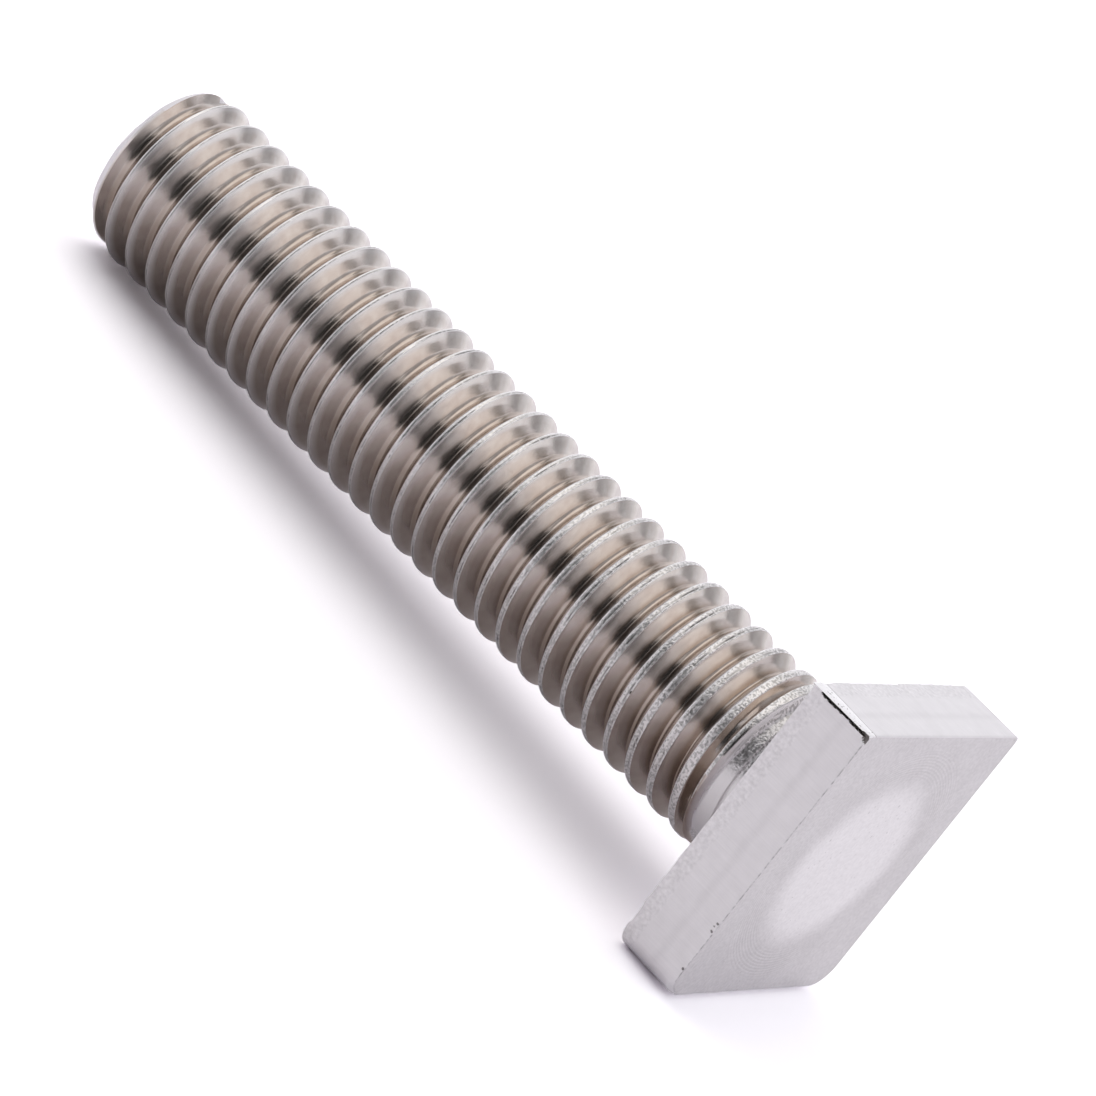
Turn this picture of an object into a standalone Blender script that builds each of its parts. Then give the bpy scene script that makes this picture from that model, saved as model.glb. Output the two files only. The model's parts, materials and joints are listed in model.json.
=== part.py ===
"""Square head screw in stainless steel, threaded almost to the head.

The screw is one cold-formed and thread-rolled piece. It is drawn upright, with the
shank's axis on Z, the bearing face of the head at height zero and the tip below. Then
it is laid down as it comes to rest: on the rear edge of the head and on the first
full thread crest at the tip. The origin is on the floor, in the middle of its box.
"""

import math

import bmesh
import bpy
from mathutils import Matrix

# Lengths in metres
CREST_DIAMETER = 0.00778
PITCH = 0.00125
LENGTH_UNDER_HEAD = 0.0382
TIP_CHAMFER = 0.0005
NECK_LENGTH = 0.0020
NECK_STEP = 0.00033
UNDERHEAD_FILLET = 0.00035

HEAD_WIDTH = 0.01275
HEAD_THICKNESS = 0.0029
HEAD_DROP = 0.00028
EDGE_BREAK = 0.00012

# Corner radii of the head, seen on its end face as it lies
TOP_NEAR_RADIUS = 0.00045
TOP_FAR_RADIUS = 0.00035
LOW_FAR_RADIUS = 0.0011
LOW_NEAR_RADIUS = 0.0010

# How far a turned surface runs past the crests that it clears
OVERRUN = 0.00008

# Points closer than this are one point
MERGE_DISTANCE = 0.0000001

# Thread form, as shares of the pitch
THREAD_DEPTH_SHARE = 0.524
CREST_FLAT_SHARE = 0.16
FLANK_ANGLE = math.radians(30.0)
ROOT_SAG_SHARE = 0.03

# Part of a turn over which the groove fades out towards the head, and how far it does
RUN_OUT_TURNS = 0.75
FULL_LIFT_SHARE = 0.98

STEPS_PER_TURN = 28
CORNER_SEGMENTS = 4
FILLET_SEGMENTS = 3
BREAK_SEGMENTS = 2

# Edges that turn more than these are broken on the head, and stay sharp in the shading
BREAK_ANGLE = math.radians(60.0)
SHARP_ANGLE = math.radians(35.0)

STEEL_COLOUR = (0.62, 0.59, 0.57, 1)
STEEL_ROUGHNESS = 0.3

crest_radius = CREST_DIAMETER / 2
neck_radius = crest_radius - NECK_STEP
thread_depth = PITCH * THREAD_DEPTH_SHARE
groove_half_width = PITCH * (1 - CREST_FLAT_SHARE) / 2
root_half_width = groove_half_width - thread_depth * math.tan(FLANK_ANGLE)


def clear_scene():
    """Remove the objects of the scene that the script starts in."""
    for existing in list(bpy.data.objects):
        bpy.data.objects.remove(existing, do_unlink=True)


def new_collection(name):
    """Add a collection to the scene."""
    collection = bpy.data.collections.new(name)
    bpy.context.scene.collection.children.link(collection)
    return collection


def profile_object(name, points, collection):
    """Make an open outline in the XZ plane, ready for a Screw modifier."""
    edges = [(i, i + 1) for i in range(len(points) - 1)]
    mesh = bpy.data.meshes.new(name)
    mesh.from_pydata([(radius, 0, height) for radius, height in points], edges, [])
    outline = bpy.data.objects.new(name, mesh)
    collection.objects.link(outline)
    return outline


def hide_as_cutter(cutter):
    """Show a helper shape as wire only and leave it out of the model."""
    cutter.display_type = "WIRE"
    cutter.hide_render = True


def make_blank(collection):
    """Turn the outer form of neck, thread and chamfered tip as one revolve.

    Over the thread it is a little wider than the crests, which come from the rod.
    """
    inside_head = HEAD_THICKNESS / 2
    points = [(0, inside_head), (neck_radius + UNDERHEAD_FILLET, inside_head)]
    for i in range(FILLET_SEGMENTS + 1):
        angle = math.pi / 2 * i / FILLET_SEGMENTS
        points.append((
            neck_radius + UNDERHEAD_FILLET * (1 - math.sin(angle)),
            UNDERHEAD_FILLET * (math.cos(angle) - 1),
        ))
    points += [
        (neck_radius, -NECK_LENGTH + NECK_STEP / 2),
        (crest_radius + OVERRUN, -NECK_LENGTH - NECK_STEP / 2 - OVERRUN),
        (crest_radius + OVERRUN, -LENGTH_UNDER_HEAD + TIP_CHAMFER + OVERRUN),
        (crest_radius - TIP_CHAMFER, -LENGTH_UNDER_HEAD),
        (0, -LENGTH_UNDER_HEAD),
    ]
    blank = profile_object("square_head_screw", points, collection)
    revolve = blank.modifiers.new("Turned blank", "SCREW")
    revolve.axis = "Z"
    revolve.angle = math.tau
    revolve.steps = STEPS_PER_TURN
    revolve.render_steps = STEPS_PER_TURN
    revolve.use_merge_vertices = True
    revolve.merge_threshold = MERGE_DISTANCE
    return blank


def make_threaded_rod(collection):
    """Wind one pitch of the thread's section into a rod, longer than the shank.

    The section runs down from the head side of a groove to the head side of the next
    one. Near the head the groove fades out: its root slides outwards along the flank
    that faces the tip, as the end of a rolling die leaves it, and stays there.
    """
    turns = math.ceil((LENGTH_UNDER_HEAD + HEAD_THICKNESS) / PITCH) + 2
    turns_to_neck = math.ceil((LENGTH_UNDER_HEAD - NECK_LENGTH) / PITCH) + 1
    start = -NECK_LENGTH - turns_to_neck * PITCH
    root_radius = crest_radius - thread_depth
    section = [
        (crest_radius, start + groove_half_width),
        (root_radius, start + root_half_width),
        (root_radius - PITCH * ROOT_SAG_SHARE, start),
        (root_radius, start - root_half_width),
        (crest_radius, start - groove_half_width),
        (crest_radius, start + groove_half_width - PITCH),
    ]
    outline = profile_object("threaded_rod", section, collection)
    winding = outline.modifiers.new("Helix", "SCREW")
    winding.axis = "Z"
    winding.angle = math.tau
    winding.screw_offset = PITCH
    winding.iterations = turns
    winding.steps = STEPS_PER_TURN
    winding.render_steps = STEPS_PER_TURN
    mesh = evaluated_mesh(outline)
    bpy.data.objects.remove(outline, do_unlink=True)

    shape = bmesh.new()
    shape.from_mesh(mesh)
    fade_out_groove(shape, len(section), turns_to_neck * STEPS_PER_TURN)
    bmesh.ops.remove_doubles(shape, verts=shape.verts, dist=MERGE_DISTANCE)
    close_ends(shape)
    bmesh.ops.recalc_face_normals(shape, faces=shape.faces)
    shape.to_mesh(mesh)
    shape.free()
    rod = bpy.data.objects.new("threaded_rod", mesh)
    collection.objects.link(rod)
    hide_as_cutter(rod)
    return rod


def fade_out_groove(shape, section_size, last_ring):
    """Lift the groove's root to the crest over the last part of a turn before the neck.

    The share of the lift rises evenly from ring to ring. The last point of each
    section belongs to the groove one turn below, so it takes that groove's share.
    """
    run_out_rings = round(RUN_OUT_TURNS * STEPS_PER_TURN)
    shape.verts.ensure_lookup_table()
    for index, vertex in enumerate(shape.verts):
        ring, place = divmod(index, section_size)
        if place == section_size - 1:
            ring -= STEPS_PER_TURN
        share = (ring - last_ring + run_out_rings) / run_out_rings
        lift = thread_depth * max(0, min(FULL_LIFT_SHARE, share))
        if place in (0, section_size - 1):
            vertex.co.z -= 2 * lift * math.tan(FLANK_ANGLE)
        elif place < section_size - 2:
            radius = math.hypot(vertex.co.x, vertex.co.y)
            vertex.co.x *= (radius + lift) / radius
            vertex.co.y *= (radius + lift) / radius
            vertex.co.z -= lift * math.tan(FLANK_ANGLE)


def close_ends(shape):
    """Close each open end of the rod with a fan of faces to a point on its axis."""
    rims = [edge for edge in shape.edges if edge.is_boundary]
    walls = bmesh.ops.extrude_edge_only(shape, edges=rims)["geom"]
    inner = [item for item in walls if isinstance(item, bmesh.types.BMVert)]
    middle = sum(vertex.co.z for vertex in inner) / len(inner)
    for end in (
        [vertex for vertex in inner if vertex.co.z < middle],
        [vertex for vertex in inner if vertex.co.z >= middle],
    ):
        height = sum(vertex.co.z for vertex in end) / len(end)
        bmesh.ops.pointmerge(shape, verts=end, merge_co=(0, 0, height))


def make_head(collection):
    """Make the square head from a box whose corner edges each have their own radius."""
    shape = bmesh.new()
    bmesh.ops.create_cube(shape, size=1)
    bmesh.ops.scale(shape, vec=(HEAD_WIDTH, HEAD_WIDTH, HEAD_THICKNESS), verts=shape.verts)
    largest_radius = max(TOP_NEAR_RADIUS, TOP_FAR_RADIUS, LOW_FAR_RADIUS, LOW_NEAR_RADIUS)
    radii = {
        (False, False): TOP_NEAR_RADIUS,
        (False, True): TOP_FAR_RADIUS,
        (True, True): LOW_FAR_RADIUS,
        (True, False): LOW_NEAR_RADIUS,
    }
    weights = shape.edges.layers.float.new("bevel_weight_edge")
    for edge in shape.edges:
        first, second = (vertex.co for vertex in edge.verts)
        if first.x == second.x and first.y == second.y:
            edge[weights] = radii[first.x > 0, first.y > 0] / largest_radius
    mesh = bpy.data.meshes.new("head_block")
    shape.to_mesh(mesh)
    shape.free()
    head = bpy.data.objects.new("head_block", mesh)
    head.location = (HEAD_DROP, 0, HEAD_THICKNESS / 2)
    collection.objects.link(head)
    hide_as_cutter(head)

    corners = head.modifiers.new("Corner radii", "BEVEL")
    corners.limit_method = "WEIGHT"
    corners.width = largest_radius
    corners.segments = CORNER_SEGMENTS
    edges = head.modifiers.new("Edge break", "BEVEL")
    edges.limit_method = "ANGLE"
    edges.angle_limit = BREAK_ANGLE
    edges.width = EDGE_BREAK
    edges.segments = BREAK_SEGMENTS
    return head


def boolean(target, name, operation, other):
    """Join another solid to the target, or cut it away."""
    modifier = target.modifiers.new(name, "BOOLEAN")
    modifier.operation = operation
    modifier.solver = "EXACT"
    modifier.object = other


def evaluated_mesh(source):
    """Return a new mesh of an object as its modifiers leave it."""
    bpy.context.view_layer.update()
    graph = bpy.context.evaluated_depsgraph_get()
    return bpy.data.meshes.new_from_object(source.evaluated_get(graph))


def stainless_steel():
    """Bare rolled stainless steel: a warm light grey metal with a satin surface."""
    material = bpy.data.materials.new("stainless_steel")
    material.use_nodes = True
    shader = material.node_tree.nodes["Principled BSDF"]
    shader.inputs["Base Color"].default_value = STEEL_COLOUR
    shader.inputs["Metallic"].default_value = 1
    shader.inputs["Roughness"].default_value = STEEL_ROUGHNESS
    return material


def finish(screw):
    """Turn the modifiers into one mesh, shaded smooth between its sharp edges."""
    mesh = evaluated_mesh(screw)
    screw.modifiers.clear()
    screw.data = mesh
    mesh.name = screw.name
    mesh.shade_smooth()
    mesh.set_sharp_from_angle(angle=SHARP_ANGLE)
    mesh.materials.clear()
    mesh.materials.append(stainless_steel())


def resting_slope(mesh):
    """Return the angle between the shank's axis and a floor that the screw lies on.

    The floor is the plane below the +X side that touches the head at one end and a
    thread crest at the other. The head's lowest point is found for the last slope,
    and the crest gives the next one, until both stay the same.
    """
    head = [vertex.co for vertex in mesh.vertices if vertex.co.z > -NECK_LENGTH]
    thread = [vertex.co for vertex in mesh.vertices if vertex.co.z < -LENGTH_UNDER_HEAD / 2]
    slope = 0
    for _ in range(4):
        corner = max(head, key=lambda point: point.x * math.cos(slope) - point.z * math.sin(slope))
        slope = min(math.atan2(corner.x - point.x, corner.z - point.z) for point in thread)
    return slope


def lay_down(screw, collection):
    """Lay the screw on the floor and centre its box over the origin."""
    slope = resting_slope(screw.data)
    turn = Matrix.Rotation(math.pi / 2 - slope, 4, "Y")
    placed = [turn @ vertex.co for vertex in screw.data.vertices]
    low = [min(point[axis] for point in placed) for axis in range(3)]
    high = [max(point[axis] for point in placed) for axis in range(3)]
    rest = bpy.data.objects.new("rest_pose", None)
    rest.rotation_euler = (0, math.pi / 2 - slope, 0)
    rest.location = (-(low[0] + high[0]) / 2, -(low[1] + high[1]) / 2, -low[2])
    rest.empty_display_size = CREST_DIAMETER
    collection.objects.link(rest)
    screw.parent = rest


def main():
    """Build the screw."""
    clear_scene()
    parts = new_collection("square_head_screw")
    cutters = new_collection("cutters")
    screw = make_blank(parts)
    boolean(screw, "Thread", "INTERSECT", make_threaded_rod(cutters))
    boolean(screw, "Head", "UNION", make_head(cutters))
    finish(screw)
    lay_down(screw, parts)


main()
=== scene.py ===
# %% [markdown]
# # A square head screw and its steel
#
# The screw is one piece of stainless steel. A blank was headed and its sides trimmed
# square, the end face was pressed flat, and the thread was rolled between two dies.
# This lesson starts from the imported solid, gives it a finer surface worked out with
# numpy, and then a finish for each way in which the steel was worked.

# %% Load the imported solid
import json
import math

import bpy
import numpy as np
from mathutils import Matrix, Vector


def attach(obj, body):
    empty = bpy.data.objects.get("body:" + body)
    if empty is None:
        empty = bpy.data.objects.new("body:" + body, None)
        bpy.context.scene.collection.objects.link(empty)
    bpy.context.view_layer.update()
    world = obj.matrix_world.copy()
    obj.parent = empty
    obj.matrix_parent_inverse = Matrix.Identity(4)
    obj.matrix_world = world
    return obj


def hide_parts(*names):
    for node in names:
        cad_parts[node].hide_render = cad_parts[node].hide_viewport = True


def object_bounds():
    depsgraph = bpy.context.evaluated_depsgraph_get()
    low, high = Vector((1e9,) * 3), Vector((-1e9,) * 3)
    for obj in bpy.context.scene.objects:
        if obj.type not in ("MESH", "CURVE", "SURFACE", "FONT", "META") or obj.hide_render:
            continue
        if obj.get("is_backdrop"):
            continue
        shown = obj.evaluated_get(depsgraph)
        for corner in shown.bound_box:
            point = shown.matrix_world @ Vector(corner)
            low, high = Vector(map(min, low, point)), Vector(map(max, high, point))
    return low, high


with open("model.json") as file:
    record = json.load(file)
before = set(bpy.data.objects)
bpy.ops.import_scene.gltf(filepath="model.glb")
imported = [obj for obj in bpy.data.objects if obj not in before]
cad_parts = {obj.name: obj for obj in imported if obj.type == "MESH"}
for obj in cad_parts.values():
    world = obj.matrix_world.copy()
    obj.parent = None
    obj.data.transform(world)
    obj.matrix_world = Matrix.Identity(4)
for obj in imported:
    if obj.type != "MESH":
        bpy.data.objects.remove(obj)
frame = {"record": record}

cad_box = [list(corner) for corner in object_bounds()]
print("box of the solid in metres:", cad_box)

# %% [markdown]
# ## The sizes that the solid already has
#
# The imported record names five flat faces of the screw. The length under the head, the
# head's thickness and width and how far it sits off the shank's axis all follow from
# where those faces are, so they are read from there and not typed again. The screw
# lies on its side, so all shapes are worked out upright, with the shank's axis on Z
# and the face under the head at height zero, and are laid down at the very end.

# %% Read the sizes from the frame
MM = 0.001
mounts = {mount["name"]: mount for mount in frame["record"]["mounts"]}


def face_point(name):
    """The place of a named face in the frame, in millimetres."""
    return np.array(mounts[name]["pos_m"]) / MM


sideways = np.array([0.0, 1.0, 0.0])
along = -np.array(mounts["bearing_face"]["axis"])
downwards = np.cross(sideways, along)
shank_length = (face_point("bearing_face") - face_point("tip_face")) @ along
head_thickness = (face_point("end_face") - face_point("bearing_face")) @ along
head_width = (face_point("far_flat") - face_point("near_flat")) @ sideways
seat = face_point("tip_face") + along * shank_length
head_drop = (face_point("end_face") - seat) @ downwards
print("shank, head thickness, head width, head drop in mm:")
print(np.round([shank_length, head_thickness, head_width, head_drop], 3))


def lay_down(points):
    """Place of upright points in the frame: the seat plus each coordinate times its own axis."""
    return seat + points @ np.array([downwards, sideways, along])


# %% [markdown]
# ## Small unevenness
#
# Steel that has been rolled or sheared is never quite even. A sum of sine waves with
# odd lengths and directions gives a soft unevenness that is the same on every run,
# needs no picture, and can be worked out for a whole grid of points at once. A
# Displace modifier could do it too, but it couldn't tell one edge from another.

# %% A sum of waves
def waves(places, lengths, seed):
    """Mean of sines with the given wave lengths, in directions and phases drawn from the seed."""
    draw = np.random.default_rng(seed)
    total = np.zeros(places.shape[:-1])
    for length in lengths:
        direction = draw.normal(size=places.shape[-1])
        direction /= np.linalg.norm(direction)
        total += np.sin(places @ direction * math.tau / length + draw.uniform(0, math.tau))
    return total / len(lengths)


SAMPLE = np.linspace(0, 1, 3)[:, None]
print("waves at 0, 0.5 and 1 mm:", waves(SAMPLE, (1.1, 1.9), seed=1).round(2))

# %% [markdown]
# ## The rolled thread
#
# A thread could be cut from a rod with a Boolean, or a profile could be wound with a
# Screw modifier. Here the surface is a function of two parameters: the angle around
# the shank and the place across one groove. The rows of the grid climb with the
# helix, so each crest edge follows one row and stays clean. After one turn a column
# meets the first column again, one groove further on.

# %% Sizes of the thread in millimetres
CREST_RADIUS = 3.89
PITCH = 1.25
THREAD_DEPTH = 0.69
FLANK_ANGLE = math.radians(30)
CREST_AT_TIP = 0.12
CREST_AT_HEAD = 0.28
LAST_CREST = 0.09
EDGE_RADIUS = 0.04
ROLL_SHARE = 0.74
NECK_LENGTH = 2.0
NECK_STEP = 0.33
FILLET = 0.35

COLUMNS = 84
CREST_ROWS = 2
EDGE_ROWS = 3
ROLL_ROWS = 5
FLANK_ROWS = 2
ROOT_ROWS = 4
ROWS = 2 * (CREST_ROWS + FLANK_ROWS + ROOT_ROWS) + EDGE_ROWS + ROLL_ROWS
print("rows in one groove:", ROWS)

# %% [markdown]
# ## One groove
#
# The groove is a V with a rounded root. The crest beside it isn't even: rolling pushed
# the steel up from the side of the tip, so that side is rolled over in a wide arc,
# and the side of the head kept a sharp edge. Each arc touches its flank, so its centre
# follows from the flank angle. Towards the head the crests are wider, because the
# steel did not quite fill the dies there. The profile could be drawn as a curve, but a
# formula gives the depth at any place, for any width of the crest.

# %% The groove's form
def groove_half(crest):
    """Half the groove's width at the crest: half of what the crest leaves of the pitch."""
    return (PITCH - crest) / 2


def root_radius(crest):
    """Radius of the root arc that touches both flanks at the thread's depth."""
    return groove_half(crest) / math.tan(FLANK_ANGLE) - THREAD_DEPTH


def groove_depth(place, crest):
    """Depth below the crest at a place across the groove, measured from its middle.

    It is the straight flank's depth, cut off by a circle at the root and by a circle
    at the crest's edge, each tangent to the flank.
    """
    half = groove_half(crest)
    root = root_radius(crest)
    off = np.abs(place)
    rounding = np.where(place > 0, ROLL_SHARE * crest, EDGE_RADIUS)
    flank = (half - off) / math.tan(FLANK_ANGLE)
    in_root = off < root * math.cos(FLANK_ANGLE)
    bottom = THREAD_DEPTH - root + np.sqrt(np.maximum(root**2 - off**2, 0))
    start = half + rounding * math.tan(FLANK_ANGLE)
    lean = np.clip(start - off, 0, rounding)
    shoulder = rounding - np.sqrt(rounding**2 - lean**2)
    in_shoulder = off > start - rounding * math.cos(FLANK_ANGLE)
    return np.where(in_root, bottom, np.where(in_shoulder, shoulder, flank))


print("depth in the middle of a groove:", groove_depth(0.0, CREST_AT_TIP).round(2), "mm")

# %% [markdown]
# ## Where the rows run
#
# Rows lie close where the surface turns and far apart where it is straight. Each side
# of the groove gets its own rows, in even turns round each arc. Even rows would be
# simpler, but they would need many more faces for an edge that is as clean.

# %% Rows across a groove
def side_places(crest, rounding, rounding_rows):
    """Places along one side, from the crest's middle to the root: even steps and even turns."""
    half = groove_half(crest)
    root = root_radius(crest)
    start = half + rounding * math.tan(FLANK_ANGLE)
    lean = math.radians(90) - FLANK_ANGLE
    knots = [start + (PITCH / 2 - start) * i / CREST_ROWS for i in range(CREST_ROWS, 0, -1)]
    knots += [start - rounding * math.sin(lean * i / rounding_rows) for i in range(rounding_rows)]
    upper = start - rounding * math.sin(lean)
    lower = root * math.sin(lean)
    knots += [upper + (lower - upper) * i / FLANK_ROWS for i in range(FLANK_ROWS)]
    knots += [root * math.sin(lean * (1 - i / ROOT_ROWS)) for i in range(ROOT_ROWS)]
    return np.stack(knots, axis=-1)


def row_places(crest):
    """Places across the groove: down the side that faces the head, then up the rolled side."""
    sharp = side_places(crest, EDGE_RADIUS, EDGE_ROWS)
    rolled = side_places(crest, ROLL_SHARE * crest, ROLL_ROWS)
    return np.concatenate([-sharp, 0 * sharp[..., :1], rolled[..., :0:-1]], axis=-1)


print("places across a groove:", len(row_places(np.array(CREST_AT_TIP))))

# %% [markdown]
# ## Winding it up
#
# The angle runs from the tip to the neck. Near the neck the groove gets shallower,
# because the die ends there, and its rows spread out evenly to carry the plain neck.
# The last rows leave the shank at both ends: they go on as the flat tip and as the
# flat face under the head, so the whole surface is one sheet without a seam. A Screw
# modifier would repeat one profile, and here each place can have its own.

# %% The two parameters
FIRST_TURN = -32
LAST_TURN = 3
turn_index = np.arange(FIRST_TURN, LAST_TURN + 1)
angle = math.tau * (turn_index[:, None] + np.arange(COLUMNS)[None, :] / COLUMNS)
middle_height = -NECK_LENGTH + PITCH * angle / math.tau


def soft_step(value, start, end):
    """Rises from 0 at start to 1 at end along three u squared minus two u cubed."""
    share = np.clip((value - start) / (end - start), 0, 1)
    return share * share * (3 - 2 * share)


CREST_WAVINESS = 0.16
CREST_WAVES = (1.1, 1.9, 3.1, 5.3, 8.9)
LATE_GROWTH = 1.5
LAST_TURNS = (-5.4, -4.2)
towards_head = soft_step(middle_height, -shank_length, -NECK_LENGTH) ** LATE_GROWTH
ring = np.stack([np.cos(angle) * CREST_RADIUS, np.sin(angle) * CREST_RADIUS, middle_height], -1)
crest_width = CREST_AT_TIP + (CREST_AT_HEAD - CREST_AT_TIP) * towards_head
crest_width += LAST_CREST * soft_step(middle_height, *LAST_TURNS)
crest_width *= 1 + CREST_WAVINESS * waves(ring, CREST_WAVES, seed=3)
print("crest width from", crest_width.min().round(3), "to", crest_width.max().round(3), "mm")

# %% [markdown]
# ## Depth and height of every point
#
# Each point's height is its groove's height plus its place across the groove, and its
# radius is the crest's radius less the groove's depth there. In the last turn before
# the neck the real die ran out, so the depth is scaled down there, and after it the
# rows spread out evenly. One rule for the whole grid keeps the surface without a seam.

# %% Places and depths over the whole thread
SHALLOW_SHARE = 0.56
DIE_ENDS = (-0.95, -0.45)
ROWS_SPREAD = (-0.45, -0.05)
die_turns = [turn * math.tau for turn in DIE_ENDS]
spread_turns = [turn * math.tau for turn in ROWS_SPREAD]
depth_share = 1 - (1 - SHALLOW_SHARE) * soft_step(angle, *die_turns)
even = (np.arange(ROWS) / ROWS - 0.5) * PITCH
spread = soft_step(angle, *spread_turns)[..., None]
place = row_places(crest_width) * (1 - spread) + even * spread
tip_side = -groove_half(crest_width)[..., None]
unscaled = tip_side + (place - tip_side) / depth_share[..., None]
depth = groove_depth(unscaled, crest_width[..., None]) * depth_share[..., None]
height = middle_height[..., None] + place
radius = CREST_RADIUS - np.maximum(depth, 0)
print("grid of the thread:", height.shape)

# %% [markdown]
# ## The lap on the crest
#
# The steel that was rolled over from the side of the tip ends in a fine lap along the
# sharp edge, deeper here and shallower there. It could be cut as a groove of its own.
# One row of the crest, pressed down, gives the same fine line with no more faces.

# %% Press the lap down
LAP_DEPTH = 0.03
LAP_ROW = 1
LAP_MEAN = 0.6
LAP_SWING = 0.9
LAP_WAVES = (0.7, 1.1, 1.9, 3.1)
FULL_SHARE = 0.999
full_depth = depth_share > FULL_SHARE
lap = (LAP_MEAN + LAP_SWING * waves(ring, LAP_WAVES, seed=8)).clip(0, 1) * full_depth
radius[..., LAP_ROW] -= LAP_DEPTH * lap
lap_line = np.zeros_like(radius)
lap_line[..., LAP_ROW] = lap
print("deepest place of the lap:", (LAP_DEPTH * lap).max().round(3), "mm")

# %% [markdown]
# ## Cutting it to length
#
# The dies leave a plain tapered rim at the very tip, and at the other end the radius
# steps down to the neck. The wire was cropped a little askew, so the rim is wider on
# one side. A Boolean could cut the thread off, but here the radius is just kept below
# the rim's and the neck's. Rows beyond the tip fold over onto the flat end.

# %% The blank's outline
TIP_RADIUS = 3.42
TIP_SLANT = 0.18
RIM_TAPER = 0.60
CHAMFER_TAPER = 0.75
RIM_LENGTH = 0.30
RIM_SLANT = 0.08
RIM_BLEND = 0.09
SLANT_TOWARDS = math.radians(330)
STEP_START = -2.14
STEP_END = -1.80
TIP_CENTRE = 0.2
from_tip = np.maximum(height + shank_length, 0)
slant = np.cos(angle[..., None] - SLANT_TOWARDS)
rim_length = RIM_LENGTH + RIM_SLANT * slant
tip_radius = TIP_RADIUS - TIP_SLANT * slant
rim = tip_radius + RIM_TAPER * from_tip
thread_part = soft_step(from_tip, rim_length, rim_length + RIM_BLEND)
on_rim = (thread_part < 0.5) & (height > -shank_length)
step = CREST_RADIUS - NECK_STEP * soft_step(height, STEP_START, STEP_END)
chamfered = np.minimum(radius, tip_radius + CHAMFER_TAPER * from_tip)
radius = np.minimum(rim + (chamfered - rim) * thread_part, step)

beyond_tip = np.maximum(-shank_length - height, 0)
tip_slope = (tip_radius - TIP_CENTRE) / beyond_tip.max()
radius = np.where(beyond_tip > 0, tip_radius - tip_slope * beyond_tip, radius)
print("length of the rim:", rim_length.min().round(2), "to", rim_length.max().round(2), "mm")

# %% [markdown]
# ## The fillet under the head
#
# The corner between neck and head is rounded on the real screw, so that it doesn't
# crack there. A Bevel modifier could round it, but the rows already run past the neck:
# they are bent round a quarter circle, so the mesh stays one sheet.

# %% The fillet under the head
FACE_SLOPE = 0.25
fillet_length = FILLET * math.pi / 2
past_neck = np.maximum(height + FILLET, 0)
bend = np.minimum(past_neck / FILLET, math.pi / 2)
past_fillet = np.maximum(past_neck - fillet_length, 0)
radius = radius + FILLET * (1 - np.cos(bend)) + FACE_SLOPE * past_fillet
height = np.where(past_neck > 0, FILLET * (np.sin(bend) - 1), np.maximum(height, -shank_length))
print("shank surface spans", height.min().round(2), "to", height.max().round(2), "mm")

# %% [markdown]
# ## Points of the shank
#
# A grid of radius, angle and height becomes points by cosine and sine. They are put in
# the order in which the faces count them, one row round the shank after another. A
# Spin would do for a plain rod, but a helix has another profile at each angle.

# %% Points of the shank
def in_point_order(values):
    """Values of the grid in the order of its points: turn, then row, then column."""
    return values.transpose(0, 2, 1).reshape(-1)


wide_angle = angle[..., None] + np.zeros_like(height)
shank_points = np.stack([
    in_point_order(radius * np.cos(wide_angle)),
    in_point_order(radius * np.sin(wide_angle)),
    in_point_order(height),
], -1).reshape(-1, COLUMNS, 3)
LAST_ROW = len(shank_points) - 1
print("rows of the shank:", LAST_ROW + 1)

# %% [markdown]
# ## The square head
#
# The head is a stack of rings. Each ring is a rounded square with its own inset and
# corner radii, at its own height: out across the face under the head, up the four
# sides, and in again over the end face to its centre. Going round, a column keeps its
# place on its side or corner, and the columns lie closer where there is more to show,
# at the near top corner. A scaled cube would be quicker, but its few faces could not
# carry the marks that the shear and the punch left.

# %% Columns around the head
HEAD_COLUMNS = 4 * COLUMNS
half_width = head_width / 2
corner_signs = np.array([(1, 1), (-1, 1), (-1, -1), (1, -1)])
corner_columns = (16, 12, 20, 16)
side_columns = (56, 56, 76, 84)
NEAR_TOP = 2
CLOSER_BEFORE = ((0, 0.62, 1), (0, 0.90, 1))
CLOSER_AFTER = ((0, 0.40, 1), (0, 0.10, 1))
print("columns of the head:", sum(corner_columns) + sum(side_columns), "of", HEAD_COLUMNS)


def side_shares(side, count):
    """Even shares along a side. On the two sides of the near top corner they crowd towards it."""
    even_share = np.arange(count) / count
    if side == NEAR_TOP:
        return np.interp(even_share, *CLOSER_BEFORE)
    if side == NEAR_TOP + 1:
        return np.interp(even_share, *CLOSER_AFTER)
    return even_share


# %% [markdown]
# ## One ring of the head
#
# Each corner is a quarter circle, except the near top one. There the shear folded a
# lip of steel over the edge, so that corner is a narrow slanted facet. A bevelled cube
# would have four equal corners. With a function each corner has its own radius.

# %% One corner, ring by ring
LIP_AT_REAR = 0.80
LIP_AT_FRONT = 0.55
LIP_ON_SIDE = 0.05
LIP_BULGE = 0.022
SMALLEST_ROUNDING = 0.02


def corner_arc(index, radii, inset):
    """Points of one corner, ring by ring: centre plus radius times cosine and sine.

    The near top corner is the lip instead: a straight facet plus half a sine as its bulge.
    """
    sign = corner_signs[index]
    share = np.arange(corner_columns[index] + 1)[None, :] / corner_columns[index]
    if index == NEAR_TOP:
        bulge = LIP_BULGE * np.sin(share * math.pi)
        x = LIP_ON_SIDE * share - bulge - half_width
        y = radii[:, index, None] * (1 - share) - half_width
        return np.stack([x + inset[:, None], y + inset[:, None]], -1)
    turn = math.pi / 2 * (index + share)
    rounding = np.maximum(radii[:, index, None] - inset[:, None], SMALLEST_ROUNDING)
    reach_out = half_width - inset[:, None] - rounding
    x = sign[0] * reach_out + rounding * np.cos(turn)
    y = sign[1] * reach_out + rounding * np.sin(turn)
    return np.stack([x, y], -1)


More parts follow.
